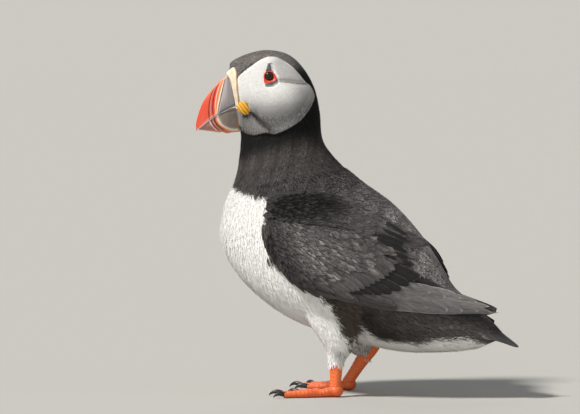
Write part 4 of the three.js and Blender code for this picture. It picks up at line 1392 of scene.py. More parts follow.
def wing_barbs():
    """Fine blades along the flow that break the smooth vanes, dark as the gaps or pale as rubbed rims."""
    y, z = scatter_roots(FLANKS["left"], (-38, 62), (62, 132), lambda a, b: 2.4 * inside(a, b, BARB_ZONE),
        140)
    count = len(y)
    on_shoulder = z > np.interp(y, *np.array(SCAPULAR_LOW).T)
    uneven = np.exp(chance(0.4, count))
    turn = np.where(on_shoulder, scapular_flow(y, z), wing_flow(y, z)) + chance(0.12, count)
    shoulder = MANTLE * (shoulder_tone(y, z) * uneven)[:, None]
    colour = np.where(on_shoulder[:, None], shoulder, wing_colour(y, z, 1.15, 0.38))
    from_edge = away_from_line(y, z, FRONT_EDGE)[0]
    sizes = chance_sizes(0.25, count, 0.4, 1.6) * (0.4 + 0.6 * step(from_edge, 0, 9))
    lifts = (0.5 + 0.3 * on_shoulder, 1.75 + 0.4 * on_shoulder + chance(0.12, count))
    length, width = 4.2 * sizes, 0.34 * sizes
    wing_layer("wing_barbs", y, z, BLADE, length, width, turn, lifts, colour, tip=0.3, material=SOFT_FEATHERS)


def back_barbs(side):
    """The same over the back."""
    spans, t, angle = back_roots(side, 3.2, 140)
    count = len(t)
    tone = shoulder_tone(*side_view(t, angle)) * np.exp(chance(0.5, count))
    sizes = chance_sizes(0.25, count, 0.4, 1.6)
    lifts = (-0.2 * sizes, 1.0 + chance(0.15, count))
    piece = lay_feathers(
        f"back_barbs_{side}", body_place, t, angle, BLADE, 2.8 * sizes, 0.42 * sizes, lifts,
        chance(0.12, count), body_colour(t, angle) * tone[:, None], tip=0.3, spans=spans,
    )
    return finish_piece(piece, SOFT_FEATHERS)


wing_barbs()
for side in SIDES:
    back_barbs(side)

# %% [markdown]
# ## The tail
# Sixteen stiff feathers make a short rounded tail, arched like a roof tile, the middle ones on top. They
# are laid on the frame's own arch, each from the root to the rounded edge.

# %% Tail
TAIL_ROOT, TAIL_TIP = np.array([88, 58]), np.array([121.5, 31.6])
TAIL_ROOT_HALF, TAIL_SPREAD_HALF, TAIL_ROOT_ARCH, TAIL_TIP_ARCH, TAIL_ROUNDING = 9, 18, 9, 2.5, 12


def tail_place(out, across, lift=0.0):
    """Place on the tail's arch: out from 0 at the root to 1 at the tip, across from -1 to 1.

    Outer feathers are shorter.
    """
    out, across, lift = np.broadcast_arrays(out, across, np.asarray(lift, float))
    half = TAIL_ROOT_HALF + (TAIL_SPREAD_HALF - TAIL_ROOT_HALF) * np.clip(out, 0, 1.2) ** 0.8
    arch = TAIL_ROOT_ARCH + (TAIL_TIP_ARCH - TAIL_ROOT_ARCH) * out
    way = TAIL_TIP - TAIL_ROOT
    reach = out - TAIL_ROUNDING * across**2 * out**2 / np.hypot(*way)
    y = TAIL_ROOT[0] + way[0] * reach
    z = TAIL_ROOT[1] + way[1] * reach - arch * across**2
    lean = np.arctan(2 * arch * across / half)
    return np.stack([across * half + np.sin(lean) * lift, y, z + np.cos(lean) * lift], -1)


def tail_piece():
    """Sixteen vanes side by side, each overlapping the next one out."""
    across = np.linspace(-0.93, 0.93, 16)
    out = np.full(16, 0.02)
    length = np.linalg.norm(tail_place(0.98, across) - tail_place(out, across), axis=-1)
    lift = 0.75 - 1.3 * np.abs(across)
    colour = MANTLE * np.exp(chance(0.15, (16, 1))) * 0.9
    for side, sign in SIDES.items():
        k = sign * across > 0
        piece = lay_feathers(
            f"tail_vanes_{side}", tail_place, out[k], across[k], QUILL, length[k], 5.6,
            (lift[k], lift[k] - 0.2), 0.0, colour[k], fringe=0.4, camber=0.5, tilt=-0.3 * sign,
        )
        finish_piece(piece, BROAD_FEATHERS, ["tail"])


tail_piece()

# %% [markdown]
# ## Legs and feet
# The shank is short and covered in small scales, with broader plates down its front. Three toes spread
# forward, joined by a web, each with a curved black claw. Toes and shank are tubes round a smooth middle
# line, and the plates are small waves of the tube's radius.


# %% Bare skin
BARE_SKIN, shader, tree = new_material("bare skin", Roughness=0.45)
place = add_node(tree, "TexCoord").outputs["Object"]
pits = add_node(tree, "TexVoronoi", Scale=1600, Vector=place)
bump = add_node(tree, "Bump", Strength=0.4, Distance=0.0002, Height=pits.outputs["Distance"])
feed(shader, Normal=bump.outputs["Normal"])


# %% Limbs
SCALES_ROUND, SCALES_ALONG = 10, 15


def shank_scales(rows, turn):
    """A chequer of small humps, cosine round the shank times cosine along it, and how much of it shows."""
    along = np.linspace(0, 2 * np.pi * SCALES_ALONG, rows)[:, None]
    return np.cos(SCALES_ROUND * turn) * np.cos(along), step(np.sin(turn), 0.3, -0.2)


def tube(middle, wide, deep, rows, sides, waves=0.0, wave_height=0.0, scales=False):
    """Rings round a smooth line through a few places; the radius swells in waves along the upper side.

    With scales it also swells in a chequer of small humps elsewhere.
    """
    place = np.linspace(0, len(middle) - 1, rows)
    line = smooth_curve(middle, place)
    tangent = np.gradient(line, axis=0)
    tangent /= np.linalg.norm(tangent, axis=1, keepdims=True)
    across = np.stack([-tangent[:, 1], tangent[:, 0], 0 * tangent[:, 0]], -1)
    flat = np.linalg.norm(across, axis=1, keepdims=True)
    across = np.where(flat < 0.35, np.array([1.0, 0, 0]), across / np.maximum(flat, 1e-6))
    upright = np.cross(tangent, across)
    turn = np.linspace(0, 2 * np.pi, sides, endpoint=False)
    half_wide, half_deep = (smooth_curve(np.array(half)[:, None], place) for half in (wide, deep))
    wave = np.abs(np.sin(place / (len(middle) - 1) * np.pi * waves))[:, None]
    swell = 1 + wave_height * wave * step(np.sin(turn), -0.2, 0.5)
    if scales:
        chequer, shown = shank_scales(rows, turn)
        swell = swell + 0.035 * chequer * shown
    ring = across[:, None] * (half_wide * np.cos(turn) * swell)[..., None]
    return line[:, None] + ring + upright[:, None] * (half_deep * np.sin(turn) * swell)[..., None]


def web_surface(root, tips):
    """A fan from the knuckle to the drawn-in edge between the toe tips: a thin, softly folded closed skin."""
    theta = np.linspace(0, len(tips) - 1, 81)
    pair = np.minimum(theta.astype(int), len(tips) - 2)
    share = (theta - pair)[:, None]
    first, second = tips[pair], tips[pair + 1]
    middle = (first + second) / 2
    drawn = middle + (root - middle) * 0.22
    edge = first * (1 - share) ** 2 + drawn * 2 * share * (1 - share) + second * share**2
    out = np.linspace(0.03, 1, 40)[:, None]
    start = root + [0, 2]
    flat = start + (edge - start) * out[..., None]
    folds = 0.22 * np.sin(theta * np.pi * 7) * out * np.sin(np.pi * share[:, 0])
    top = (1.15 + folds) * np.sqrt(np.clip(1 - out**10, 0.02, 1))
    upper = np.concatenate([flat, top[..., None]], -1)
    return np.concatenate([upper, upper[::-1] * [1, 1, 0]]).transpose(1, 0, 2)


SKIN_ORANGE = np.array([0.78, 0.17, 0.035])
SKIN_DEEP = np.array([0.62, 0.075, 0.02])
CLAW_BLACK = np.array([0.018, 0.015, 0.014])
# way, length, claw, name
TOES = [(-0.36, 27, 8.5, "inner"), (-0.02, 35, 8.0, "middle"), (0.33, 33.5, 7.0, "outer")]
# share of its length, height
TOE_LINE = [[-0.1, 4.6], [0.12, 3.3], [0.32, 2.2], [0.5, 2.5], [0.72, 1.9], [1, 1.7]]
CLAW_LINE = [[0.25, 2.9], [0.55, 2.9], [0.85, 1.8], [1, 0.5]]  # share of the claw's length, height


def scale_tone(rows, sides):
    """Painted light and shade of the shank's scales: paler where the tube swells, darker in the furrows where
    it sinks, then its ends' means.
    """
    chequer, shown = shank_scales(rows, np.linspace(0, 2 * np.pi, sides, endpoint=False))
    # Painted highlight on each scale's swell and painted shade in the furrows.
    return with_ends((1 + 0.3 * np.clip(chequer + 0.2, -0.6, 0.6) * shown)[..., None])


def leg_tone(corners):
    """Orange on the shank, redder on the web, darker in blotches, and darker low down under the toes in
    painted shade.
    """
    x, y, z = corners.T
    blotch = 0.5 + 0.5 * streaks(x * 0.12 + y * 0.2, z * 0.15 + x * 0.1, 6, 37)
    colour = mix(SKIN_ORANGE, SKIN_DEEP, np.clip(0.25 + 0.5 * blotch * step(z, 12, 2), 0, 1))
    # Painted shade: darker near the floor, under the toes and over the low web.
    return colour * (0.75 + 0.3 * step(z, 0.2, 1.6))[:, None] * (0.92 + 0.12 * blotch)[:, None]


def claw_tone(corners):
    """The same black for every corner."""
    return np.full(corners.shape, CLAW_BLACK)


def shank_piece(side, ankle, toes):
    """A tube from inside the thigh to the knuckle, plated before and scaled round."""
    rows, sides, plates = 220, 96, 17
    line = ankle + (toes - ankle) * np.array([-0.25, -0.06, 0.12, 0.45, 0.8, 1.06])[:, None]
    wide, deep = [3.6, 3.9, 3.9, 3.0, 3.0, 3.4], [4.8, 5.3, 5.3, 4.2, 3.6, 3.7]
    corners, loops, starts = capped(tube(line, wide, deep, rows, sides, plates, 0.07, scales=True))
    piece = write_mesh(f"shank_skin_{side}", corners, loops, starts,
        leg_tone(corners) * scale_tone(rows, sides))
    finish_piece(piece, BARE_SKIN, [f"shank_{side}"])


def knuckle(root):
    """A ball flattened a little, where the toes meet."""
    ball, around = net((0.05, np.pi - 0.05, 30), (0, 2 * np.pi, 40), closed=True)
    round_ = np.stack([np.sin(ball) * np.cos(around), np.sin(ball) * np.sin(around), np.cos(ball)], -1)
    return round_ * [4.3, 4.6, 3.9] + [root[0], root[1] + 0.5, 4.0]


def foot_pieces(side, root, splay):
    """Toes, web and knuckle as one skin, and a claw beyond each toe, all straight out from the root."""
    parts, tips = [], []
    for way, length, claw, name in TOES:
        turn = splay + SIDES[side] * way
        ahead = np.array([np.sin(turn), -np.cos(turn)])
        out, height = np.array(TOE_LINE).T
        line = np.column_stack([root + np.outer(length * out, ahead), height])
        toe = tube(line, [2.9, 2.9, 2.3, 2.6, 2.1, 1.9], [2.9, 2.8, 2.1, 2.5, 1.9, 1.7], 110, 28,
            length / 2.3, 0.09)
        toe[..., 2] = np.maximum(toe[..., 2], 0.05 + 0.02 * toe[..., 2])
        parts.append(coloured(toe, leg_tone))
        tips.append(root + ahead * (length - 1))
        out, height = np.array([[-1.2 / claw, 1.9], *CLAW_LINE]).T
        line = np.column_stack([root + np.outer(length + claw * out, ahead), height])
        nail = tube(line, [1.45, 1.3, 1.05, 0.65, 0.15], [1.6, 1.5, 1.2, 0.7, 0.2], 40, 20)
        nail[..., 2] = np.maximum(nail[..., 2], 0.02)
        piece = write_mesh(f"claw_horn_{name}_{side}", *coloured(nail, claw_tone))
        finish_piece(piece, CLAW_HORN, [f"claw_{name}_{side}"])
    parts += [coloured(rings, leg_tone) for rings in (web_surface(root, np.array(tips)), knuckle(root))]
    piece = write_mesh(f"foot_skin_{side}", *joined(*parts))
    finish_piece(piece, BARE_SKIN, [f"foot_{side}"])


def uneven_gloss(shader, tree, grain, low, high):
    """Roughness between low and high, spot by spot as a noise gives it."""
    rough = add_node(tree, "MapRange", To_Min=low, To_Max=high, Value=grain.outputs["Fac"])
    feed(shader, Roughness=rough.outputs["Result"])


CLAW_HORN, shader, tree = new_material("claw horn")
place = add_node(tree, "TexCoord").outputs["Object"]
uneven_gloss(shader, tree, add_node(tree, "TexNoise", Scale=900, Vector=place), 0.25, 0.5)
for side, (ankle, toes, splay) in LEGS.items():
    shank_piece(side, np.array(ankle), np.array(toes))
    foot_pieces(side, np.array(toes[:2]), splay)


# %% Feathered thighs
def thigh_coat(side):
    """Soft blades round the thigh, pointing down."""
    place = thigh_place(side)
    spans = ((0.3, 4.9), (-np.pi, np.pi))
    t, angle = scatter_roots(place, *spans, 3.4, 90)
    count = len(t)
    colour = thigh_colour(place(t, angle), chance(0.6, count)) * chance_sizes(0.08, (count, 1))
    length = (6.5 - 3.4 * step(t, 2, 4.4)) * chance_sizes(0.25, count, 0.5, 1.6)
    lifts = (-1.5, chance(0.3, count))
    piece = lay_feathers(
        f"thigh_coat_{side}", place, t, angle, BLADE, length, 0.75, lifts, chance(0.2, count), colour,
        tip=0.1, spans=spans,
    )
    return finish_piece(piece, SOFT_FEATHERS)


DRAPE = [[-14, 60], [2, 62], [16, 57], [18.5, 46], [15, 38], [6, 36], [-5, 41], [-11, 50]]


def flank_drape(side):
    """Longer blades that hang from the flank over the thigh and hide where the two meet."""
    back = 0 if side == "left" else 9
    y, z = scatter_roots(FLANKS[side], (-16, 20), (34, 64), lambda a, b: 3.0 * inside(a, b, DRAPE), 90)
    count = len(y)
    colour = thigh_colour(np.stack([0 * y + FLANK_HALF, y, z], -1), chance(0.6, count))
    colour = colour * chance_sizes(0.08, (count, 1))
    turn = np.radians(np.interp(z, [36, 62], [-62, -48])) + chance(0.15, count)
    length = 8 * chance_sizes(0.2, count, 0.5, 1.5)
    piece = lay_feathers(
        f"flank_drape_{side}", FLANKS[side], y + back, z, BLADE, length, 0.8,
        (-1.6, 0.5 + chance(0.25, count)), turn, colour, tip=0.1, flip=side == "left",
    )
    return finish_piece(piece, SOFT_FEATHERS)


for side in SIDES:
    thigh_coat(side)
    flank_drape(side)


# %% [markdown]
# ## The bill
# The bill is a deep, narrow wedge of horn. Its upper half is drawn by growth lines: each line runs from the
# ridge on top, the culmen, down to the mouth, and the next lies a little nearer the tip. Grooves, ridges
# and colours all follow those lines, so one number, the growth line, shapes and paints it.


# %% Horn material
HORN, shader, tree = new_material("horn of the bill", Coat_Weight=0.25, Coat_Roughness=0.25)
growth = add_node(tree, "UVMap")
growth.uv_map = "growth"
stretch = add_node(tree, "Mapping", Scale=(60, 6, 1), Vector=growth.outputs["UV"])
grain = add_node(tree, "TexNoise", Scale=1.0, Detail=5, Vector=stretch.outputs["Vector"])
bump = add_node(tree, "Bump", Strength=0.2, Distance=0.0003, Height=grain.outputs["Fac"])
feed(shader, Normal=bump.outputs["Normal"])
uneven_gloss(shader, tree, grain, 0.28, 0.55)
SLATE = np.array([0.22, 0.195, 0.2])
PALE_BLUE = np.array([0.6, 0.6, 0.68])
CREAM = np.array([0.84, 0.7, 0.5])
LILAC = np.array([0.78, 0.58, 0.52])
ORANGE = np.array([0.8, 0.2, 0.03])
RED = np.array([0.66, 0.05, 0.008])
DARK_RED = np.array([0.24, 0.012, 0.006])
RIDGE_GREY = np.array([0.5, 0.25, 0.22])
BILL_BROWN = np.array([0.17, 0.065, 0.035])


def horn_piece(name, rings, paint, growth, node):
    """A closed body of horn, turned with the head, with its colours and the two rulers of its growth map."""
    corners, loops, starts = capped(turned_by(rings, HEAD_TURN))
    flat = with_ends(np.stack(np.meshgrid(*growth, indexing="ij"), -1))
    piece = write_mesh(name, corners, loops, starts, with_ends(paint), [("growth", flat)])
    return finish_piece(piece, HORN, [node])



# %% Upper half of the bill
GROWTH = [  # culmen y, z, middle y, z, mouth y, z, half width; from the root to the tip
    [-71.3, 205.9, -68.0, 196.5, -65.7, 185.6, 7.7],
    [-71.4, 205.8, -70.7, 194.5, -71.1, 183.2, 7.35],
    [-71.6, 205.6, -74.3, 192.2, -76.6, 180.3, 6.95],
    [-73.1, 204.2, -78.2, 192.5, -78.4, 179.6, 6.6],
    [-75.1, 202.4, -79.7, 191.2, -79.8, 178.6, 6.3],
    [-76.9, 200.7, -81.3, 190.0, -81.0, 177.8, 6.0],
    [-78.8, 198.7, -82.4, 188.2, -82.4, 176.9, 5.6],
    [-82.7, 194.1, -85.1, 185.0, -84.7, 175.0, 4.9],
    [-86.9, 187.9, -87.7, 180.5, -87.1, 172.9, 3.9],
    [-89.7, 180.5, -89.7, 176.0, -88.9, 171.4, 2.6],
    [-91.3, 174.0, -91.1, 172.0, -90.6, 170.4, 1.2],
    [-91.1, 169.8, -90.9, 169.5, -90.7, 169.3, 0.4],
]
BAND_STARTS, BAND_ENDS, GROOVE_1, RIDGE_LINE, GROOVE_2 = 2.0, 3.0, 4.0, 5.0, 6.0


def bill_side(s, a):
    """Place on the upper bill's plain side: growth line s, and a from 0 on the culmen to 1 or -1 at the
    mouth.

    The line is the parabola through its three places; its width is a quarter circle at the culmen, then a
    slow slope.
    """
    line = smooth_curve(GROWTH, s)
    w = np.abs(a)
    shares = ((1 - w) * (1 - 2 * w), 4 * w * (1 - w), w * (2 * w - 1))
    y, z = (sum(share * line[..., 2 * k + way] for k, share in enumerate(shares)) for way in (0, 1))
    culmen = np.sqrt(np.clip(1 - (1 - np.minimum(w / 0.08, 1)) ** 2, 0, 1))
    x = np.sign(a) * line[..., 6] * (0.42 * culmen + 0.58 * w**0.8)
    return np.stack([x, y, z], -1)


def upper_bill_relief(s, w):
    """Height of the raised band, the two grooves, the ridge between them and the hollow slate part."""
    band = step(s, BAND_STARTS, BAND_STARTS + 0.18) * step(s, BAND_ENDS + 0.12, BAND_ENDS - 0.1)
    grooves = hump(s - GROOVE_1, 0.16) + hump(s - GROOVE_2, 0.16)
    height = 0.4 * band - 0.45 * grooves + 0.2 * hump(s - RIDGE_LINE, 0.25)
    height = height - 0.35 * hump(s - 1.1, 0.7) * hump(w - 0.55, 0.4)
    height = height + 0.2 * hump(w - 1, 0.05) * step(s, 2.2, 3)
    return height * step(w, 0.02, 0.14) * step(s, 10.5, 9)


def upper_bill_paint(s, w):
    """Slate at the root, darker towards the mouth in painted shade, a pale band, then red with painted shade
    in its grooves, orange on the culmen, pale at the mouth, a painted shadow along the gape.
    """
    uneven = 0.05 * streaks(w * 2, s * 0.2, 4, 3)
    # The dark red bands in the two grooves are painted shade.
    stops = bands(
        (0, 1.9, SLATE), (1.98, 2.08, PALE_BLUE), (2.13, 2.2, BILL_BROWN), (2.27, 2.44, CREAM),
        (2.52, 2.8, ORANGE), (2.85, 2.95, LILAC), (3.02, 3.78, RED), (3.92, 4.1, DARK_RED), (4.22, 4.74, RED),
        (4.86, 5.1, RIDGE_GREY), (5.22, 5.82, RED), (5.94, 6.08, DARK_RED), (6.2, 11, RED),
    )
    # Painted shade: the slate darkens from the culmen towards the mouth.
    slate = 0.12 * streaks(s * 3, w * 3, 5, 5) + 0.7 * (0.45 - w)
    slate = slate + 0.9 * step(s, 0.7, 1.9) * step(w, 0.95, 0.5)
    tone = np.clip(1 + step(s, 1.95, 1.8) * slate, 0.35, 2.6)
    pale = 0.09 * step(s, 5.2, 8) * step(w, 0.1, 0.4) * (0.6 + 0.6 * streaks(s * 4, w * 6, 6, 9))
    return layered(painted(s + uneven, stops) * tone[..., None], [
        (LILAC, np.clip(pale, 0, 0.5) * step(s, 3.1, 3.3)),
        (ORANGE, 0.85 * hump(w, 0.14) * step(s, 2.1, 2.4) * step(s, 9.5, 5)),
        (LILAC, 0.75 * hump(w - 0.985, 0.02) * step(s, 2.2, 2.8) * step(s, 9.6, 9)),
        # The black line near the mouth edge at the root is a painted shadow in the gape.
        (BLACK, 0.9 * hump(w - 0.945, 0.022) * step(s, 2.1, 1.7)),
        (BILL_BROWN * 0.4, step(s, 10.2, 10.7)),
    ])


def upper_bill_piece():
    """Rings along the growth lines: over the culmen from edge to edge, then back under as a palate."""
    rows = np.unique(np.concatenate([np.linspace(0, 11, 90), np.linspace(1.8, 6.4, 230)]))
    even = np.linspace(-1, 1, 97)
    across = np.sign(even) * np.abs(even) ** 1.5
    s, a = np.meshgrid(rows, across, indexing="ij")
    relief = upper_bill_relief(s, np.abs(a))[..., None]
    sides = bill_side(s, a) - outward(bill_side, s, a, 0.01, 0.004) * relief
    share = np.linspace(1, -1, 9)[1:-1]
    palate = sides[:, -1:] * (1 + share[None, :, None]) / 2 + sides[:, :1] * (1 - share[None, :, None]) / 2
    palate[..., 2] += 1.2 * (1 - share[None, :] ** 2) * step(s[:, :1], 10, 8)
    paint = upper_bill_paint(s, np.abs(a))
    paint = np.concatenate([paint, np.broadcast_to(paint[:, -1:], palate.shape)], 1)
    growth = (rows / 11, np.concatenate([even, share]) * 0.5 + 0.5)
    return horn_piece("upper_bill_horn", np.concatenate([sides, palate], 1), paint, growth, "upper_bill")


upper_bill_piece()

# %% Lower half of the bill
JAW = [  # mouth edge y, z, underside y, z, half width; from the corner of the mouth to the tip
    [-63.0, 184.6, -63.0, 168.6, 8.0],
    [-68.5, 183.9, -68.3, 168.1, 7.5],
    [-73.8, 181.4, -73.2, 168.2, 6.95],
    [-78.4, 179.2, -77.8, 168.7, 6.2],
    [-82.4, 176.5, -82.2, 169.3, 5.2],
    [-86.2, 173.3, -86.0, 169.8, 3.7],
    [-89.6, 170.6, -89.4, 170.1, 1.1],
]
SLATE_Y, SLATE_Z, SLATE_LONG, SLATE_HIGH = -65.7, 180.0, 11.0, 9.3


def jaw_side(s, a):
    """Place on the side of the lower bill: a is 0 on the keel below and 1 or -1 at the mouth edge."""
    line = smooth_curve(JAW, s)
    w = np.abs(a)
    y = line[..., 2] + (line[..., 0] - line[..., 2]) * w
    z = line[..., 3] + (line[..., 1] - line[..., 3]) * w**1.15
    x = np.sign(a) * line[..., 4] * (1 - np.clip(1 - w, 0, 1) ** 2.6) ** 0.55 * (1 - 0.04 * w)
    return np.stack([x, y, z], -1)


def jaw_ring(y, z):
    """How far out a place lies in the family of ovals round the slate part: 1 on its edge."""
    return np.hypot((y - SLATE_Y) / SLATE_LONG, (z - SLATE_Z) / SLATE_HIGH)


def jaw_relief(y, z):
    """The pale rim stands up and two grooves sink, all on the same family of ovals."""
    ring = jaw_ring(y, z)
    height = 0.35 * hump(ring - 1.07, 0.07) - 0.4 * hump(ring - 1.27, 0.05) - 0.4 * hump(ring - 1.48, 0.05)
    return height + 0.2 * hump(ring - 1.38, 0.04)


def jaw_paint(y, z, w):
    """Slate within the oval, a cream rim, orange, then red with painted shade in two grooves and a salmon
    tip, and a painted shadow along the gape.
    """
    ring = jaw_ring(y, z)
    salmon = mix(RED, LILAC, 0.5) * 0.55
    brown_slate = SLATE * np.array([0.95, 0.8, 0.66])
    stops = [(0, brown_slate * 0.6), (0.85, brown_slate), (0.96, SLATE * 1.3), (1.01, CREAM), (1.1, LILAC)]
    # The dark red bands in the two grooves are painted shade.
    stops += bands(
        (1.15, 1.2, ORANGE), (1.24, 1.3, DARK_RED), (1.34, 1.4, RIDGE_GREY), (1.44, 1.5, DARK_RED),
        (1.54, 1.58, LILAC), (1.62, 3, salmon),
    )
    tone = 1 + step(ring, 1.0, 0.9) * (0.1 * streaks(y * 0.2, z * 0.4, 5, 13) + 0.45 * (ring - 0.6))
    gape = np.interp(y, [-76.5, -70.5, -63.3], [180.0, 182.0, 183.3])
    corner = step(y, -77.5, -75.5)
    return layered(painted(ring + 0.015 * streaks(z * 0.3, y * 0.2, 4, 11), stops) * tone[..., None], [
        (ORANGE, 0.8 * step(z, 170.6, 169.4) * step(ring, 1.1, 1.2)),
        (CREAM, 0.8 * step(z, 171.3, 169.6) * step(ring, 1.15, 1.05)),
        (mix(ORANGE, BILL_BROWN, 0.5), 0.8 * step(y, -64.4, -63.4)),
        (BILL_BROWN * 0.8, step(z - gape, 0.2, 0.6) * corner),
        # The black line along the gape is a painted shadow in the gap of the mouth.
        (BLACK, 0.92 * hump(z - gape, 0.33) * corner),
        (LILAC, 0.7 * hump(w - 1, 0.05) * step(y, -78.0, -79.5)),
    ])


def lower_bill_piece():
    """Rings from mouth edge to mouth edge under the keel, closed by a flat floor of the mouth."""
    rows, even = np.linspace(0, 6, 220), np.linspace(-1, 1, 97)
    s, a = np.meshgrid(rows, even, indexing="ij")
    plain = jaw_side(s, a)
    y, z = plain[..., 1], plain[..., 2]
    sides = plain + outward(jaw_side, s, a, 0.01, 0.004) * (jaw_relief(y, z) * step(s, 5.9, 5))[..., None]
    paint = jaw_paint(y, z, np.abs(a))
    return horn_piece("lower_bill_horn", sides, paint, (rows / 6, even * 0.5 + 0.5), "lower_bill")


lower_bill_piece()

# %% [markdown]
# ## The soft parts of the face
# A raised pale rim, the cere, joins bill and feathers. At the corner of the mouth sits a ribbed yellow
# rosette. The eye is small and dark, in a bare red ring with two little plates of blue-grey horn. Each of
# these lies on the head, so a helper first finds where on the head a place of the side view is.


# %% Finding a place on the head
def find_on_head(y, z):
    """Station and angle of the left side's place at a y and z: nearest of a net, then Newton's steps."""
    y, z = np.broadcast_arrays(np.asarray(y, float), np.asarray(z, float))
    net_t, net_angle = (grid.ravel() for grid in net((0, 9, 91), (0.05, np.pi - 0.05, 60)))
    net_y, net_z = side_view(net_t, net_angle)
    nearest = ((net_y - y.reshape(-1, 1)) ** 2 + (net_z - z.reshape(-1, 1)) ** 2).argmin(1)
    t, angle = net_t[nearest].reshape(y.shape), net_angle[nearest].reshape(y.shape)
    small = 1e-3
    for _ in range(5):
        here = ring_point(t, angle)
        by_t = (ring_point(t + small, angle) - here) / small
        by_angle = (ring_point(t, angle + small) - here) / small
        miss_y, miss_z = y - here[..., 1], z - here[..., 2]
        det = by_t[..., 1] * by_angle[..., 2] - by_t[..., 2] * by_angle[..., 1]
        det = np.where(np.abs(det) < 0.5, 0.5 * np.where(det < 0, -1, 1), det)
        t = t + np.clip((miss_y * by_angle[..., 2] - miss_z * by_angle[..., 1]) / det, -0.3, 0.3)
        angle = np.clip(angle + np.clip((miss_z * by_t[..., 1] - miss_y * by_t[..., 2]) / det, -0.2, 0.2),
            0.01, 3.13)
    return t, angle


def head_side(y, z, folded=False):
    """How far out the head's side stands at a place of the side view, plain or with the folds of the face."""
    t, angle = find_on_head(y, z)
    side = ring_point(t, angle)[..., 0]
    return side + face_relief(y, z, t) if folded else side


def on_both_sides(name, shape, paint, material, nodes, flat=None, faces=None):
    """The same patch on the left and, mirrored, on the right, turned with the head.

    Without faces the shape is taken as rings and closed.
    """
    if faces is None:
        shape, *faces = capped(shape)
        paint = with_ends(paint)
    maps = [] if flat is None else [("growth", flat)]
    for side, sign in SIDES.items():
        corners = turned_by(shape * [sign, 1, 1], HEAD_TURN)
        loops, starts = faces if sign > 0 else turned_over(*faces)
        piece = write_mesh(f"{name}_{side}", corners, loops, starts, paint, maps)
        finish_piece(piece, material, [f"{node}_{side}" for node in nodes])


# %% Cere
CERE_REAR = [[-67.0, 211.0], [-65.0, 207.2], [-64.8, 201.5], [-64.4, 195.5], [-63.7, 190.0], [-63.2, 185.4]]
CERE_FRONT = [[-71.5, 205.9], [-69.4, 203.4], [-68.1, 199.5], [-67.3, 194.5], [-66.2, 190.0], [-65.5, 185.6]]


def cere_piece():
    """A strip from a front line on the bill to a rear line on the head, over the top and down both sides."""
    low = np.linspace(0, 1, 60) ** 1.2
    front, rear = smooth_curve(CERE_FRONT, low * 5), smooth_curve(CERE_REAR, low * 5)
    share = np.linspace(-0.12, 1.08, 25)[:, None]
    y = front[:, 0] + (rear[:, 0] - front[:, 0]) * share
    z = front[:, 1] + (rear[:, 1] - front[:, 1]) * share
    bill_half = np.interp(low, [0, 0.04, 0.2, 0.5, 1], [0.4, 2.4, 4.6, 6.0, 7.6])
    head_half = head_side(rear[:, 0], rear[:, 1]) * step(low, -0.1, 0.12)
    head_half[0] = 0
    x = bill_half + (head_half - bill_half) * step(share, -0.1, 0.9)
    x[:, 0] = 0
    swell = 0.75 * np.sqrt(np.clip(1 - np.abs(2 * share - 1) ** 3.0, 0, 1))
    swell = swell - 0.9 * step(np.abs(share - 0.5), 0.5, 0.62)
    swell = swell + 0.22 * hump(share - 0.15, 0.14) + 0.15 * hump(share - 0.88, 0.1)
    up = step(low, 0.35, 0.0)
    forward = swell * (0.3 * (1 - up) + 0.45 * up)
    side = np.stack([x + swell * (1 - 0.7 * up), y - forward, z + swell * up * 0.8], -1)
    side[:, 0, 0] = 0
    both = np.concatenate([side[:, :0:-1] * MIRROR, side], 1).transpose(1, 0, 2)
    cream, sallow = np.array([0.86, 0.76, 0.6]), np.array([0.78, 0.68, 0.48])
    edge = np.array([0.82, 0.56, 0.3])
    stops = bands(
        (-0.15, -0.02, edge), (0.06, 0.36, cream), (0.46, 0.72, sallow), (0.8, 0.93, cream), (0.98, 1.2, edge)
    )
    paint = painted(share + 0.04 * streaks(low * 3, share, 4, 17), stops)
    paint = paint * (1 + 0.1 * streaks(low * 6, share * 3, 5, 19))[..., None]
    paint = np.concatenate([paint[:, :0:-1], paint], 1).transpose(1, 0, 2)
    return horn_piece("cere_rim", both, paint, (np.linspace(0, 1, len(both)), share[:, 0]), "cere")


cere_piece()


# %% Rosettes at the corners of the mouth
ROSETTE_LEAN = -0.85
ROSETTE_BRIGHT, ROSETTE_FURROW_SHADE = np.array([0.88, 0.45, 0.01]), np.array([0.58, 0.2, 0.006])
ROSETTE_CREST_HIGHLIGHT = np.array([0.86, 0.62, 0.2])


def rosette_pieces():
    """An egg-shaped cushion with slanting ribs: radius times (1 + rib wave), with painted shade in the
    furrows and a painted highlight on the crests.
    """
    down, around = net((0.01, 0.98, 48), (0, 2 * np.pi, 96), closed=True)
    tall = down * np.pi * 0.62
    long_way, wide_way = 4.7 * np.sin(tall) * np.cos(around), 3.8 * np.sin(tall) * np.sin(around)
    c, s = np.cos(ROSETTE_LEAN), np.sin(ROSETTE_LEAN)
    y, z = long_way * c - wide_way * s, long_way * s + wide_way * c
    rib = (y + z * 0.75) / 1.25 + 0.1 * np.sin(1.1 * (y - z))
    wave = np.cos(rib * np.pi * 0.95)
    height = 2.2 * np.cos(tall) + 0.42 * wave * np.sin(np.clip(tall, 0.3, 1.4))
    x = head_side(ROSETTE_Y, ROSETTE_Z) + 0.1 + height
    swell = 1 + 0.035 * wave
    shape = np.stack([x, ROSETTE_Y + y * swell, ROSETTE_Z + z * swell], -1)
    # Painted shade in the furrows and a painted highlight on the crests of the ribs.
    layers = [(ROSETTE_BRIGHT, step(wave, -0.95, 0.1)), (ROSETTE_CREST_HIGHLIGHT, 0.3 * step(wave, 0.6, 1.0))]
    paint = layered(ROSETTE_FURROW_SHADE, layers)
    flat = with_ends(np.stack([down, around / 6.3], -1))
    on_both_sides("rosette_cushion", shape, paint, HORN, ["rosette"], flat)


rosette_pieces()


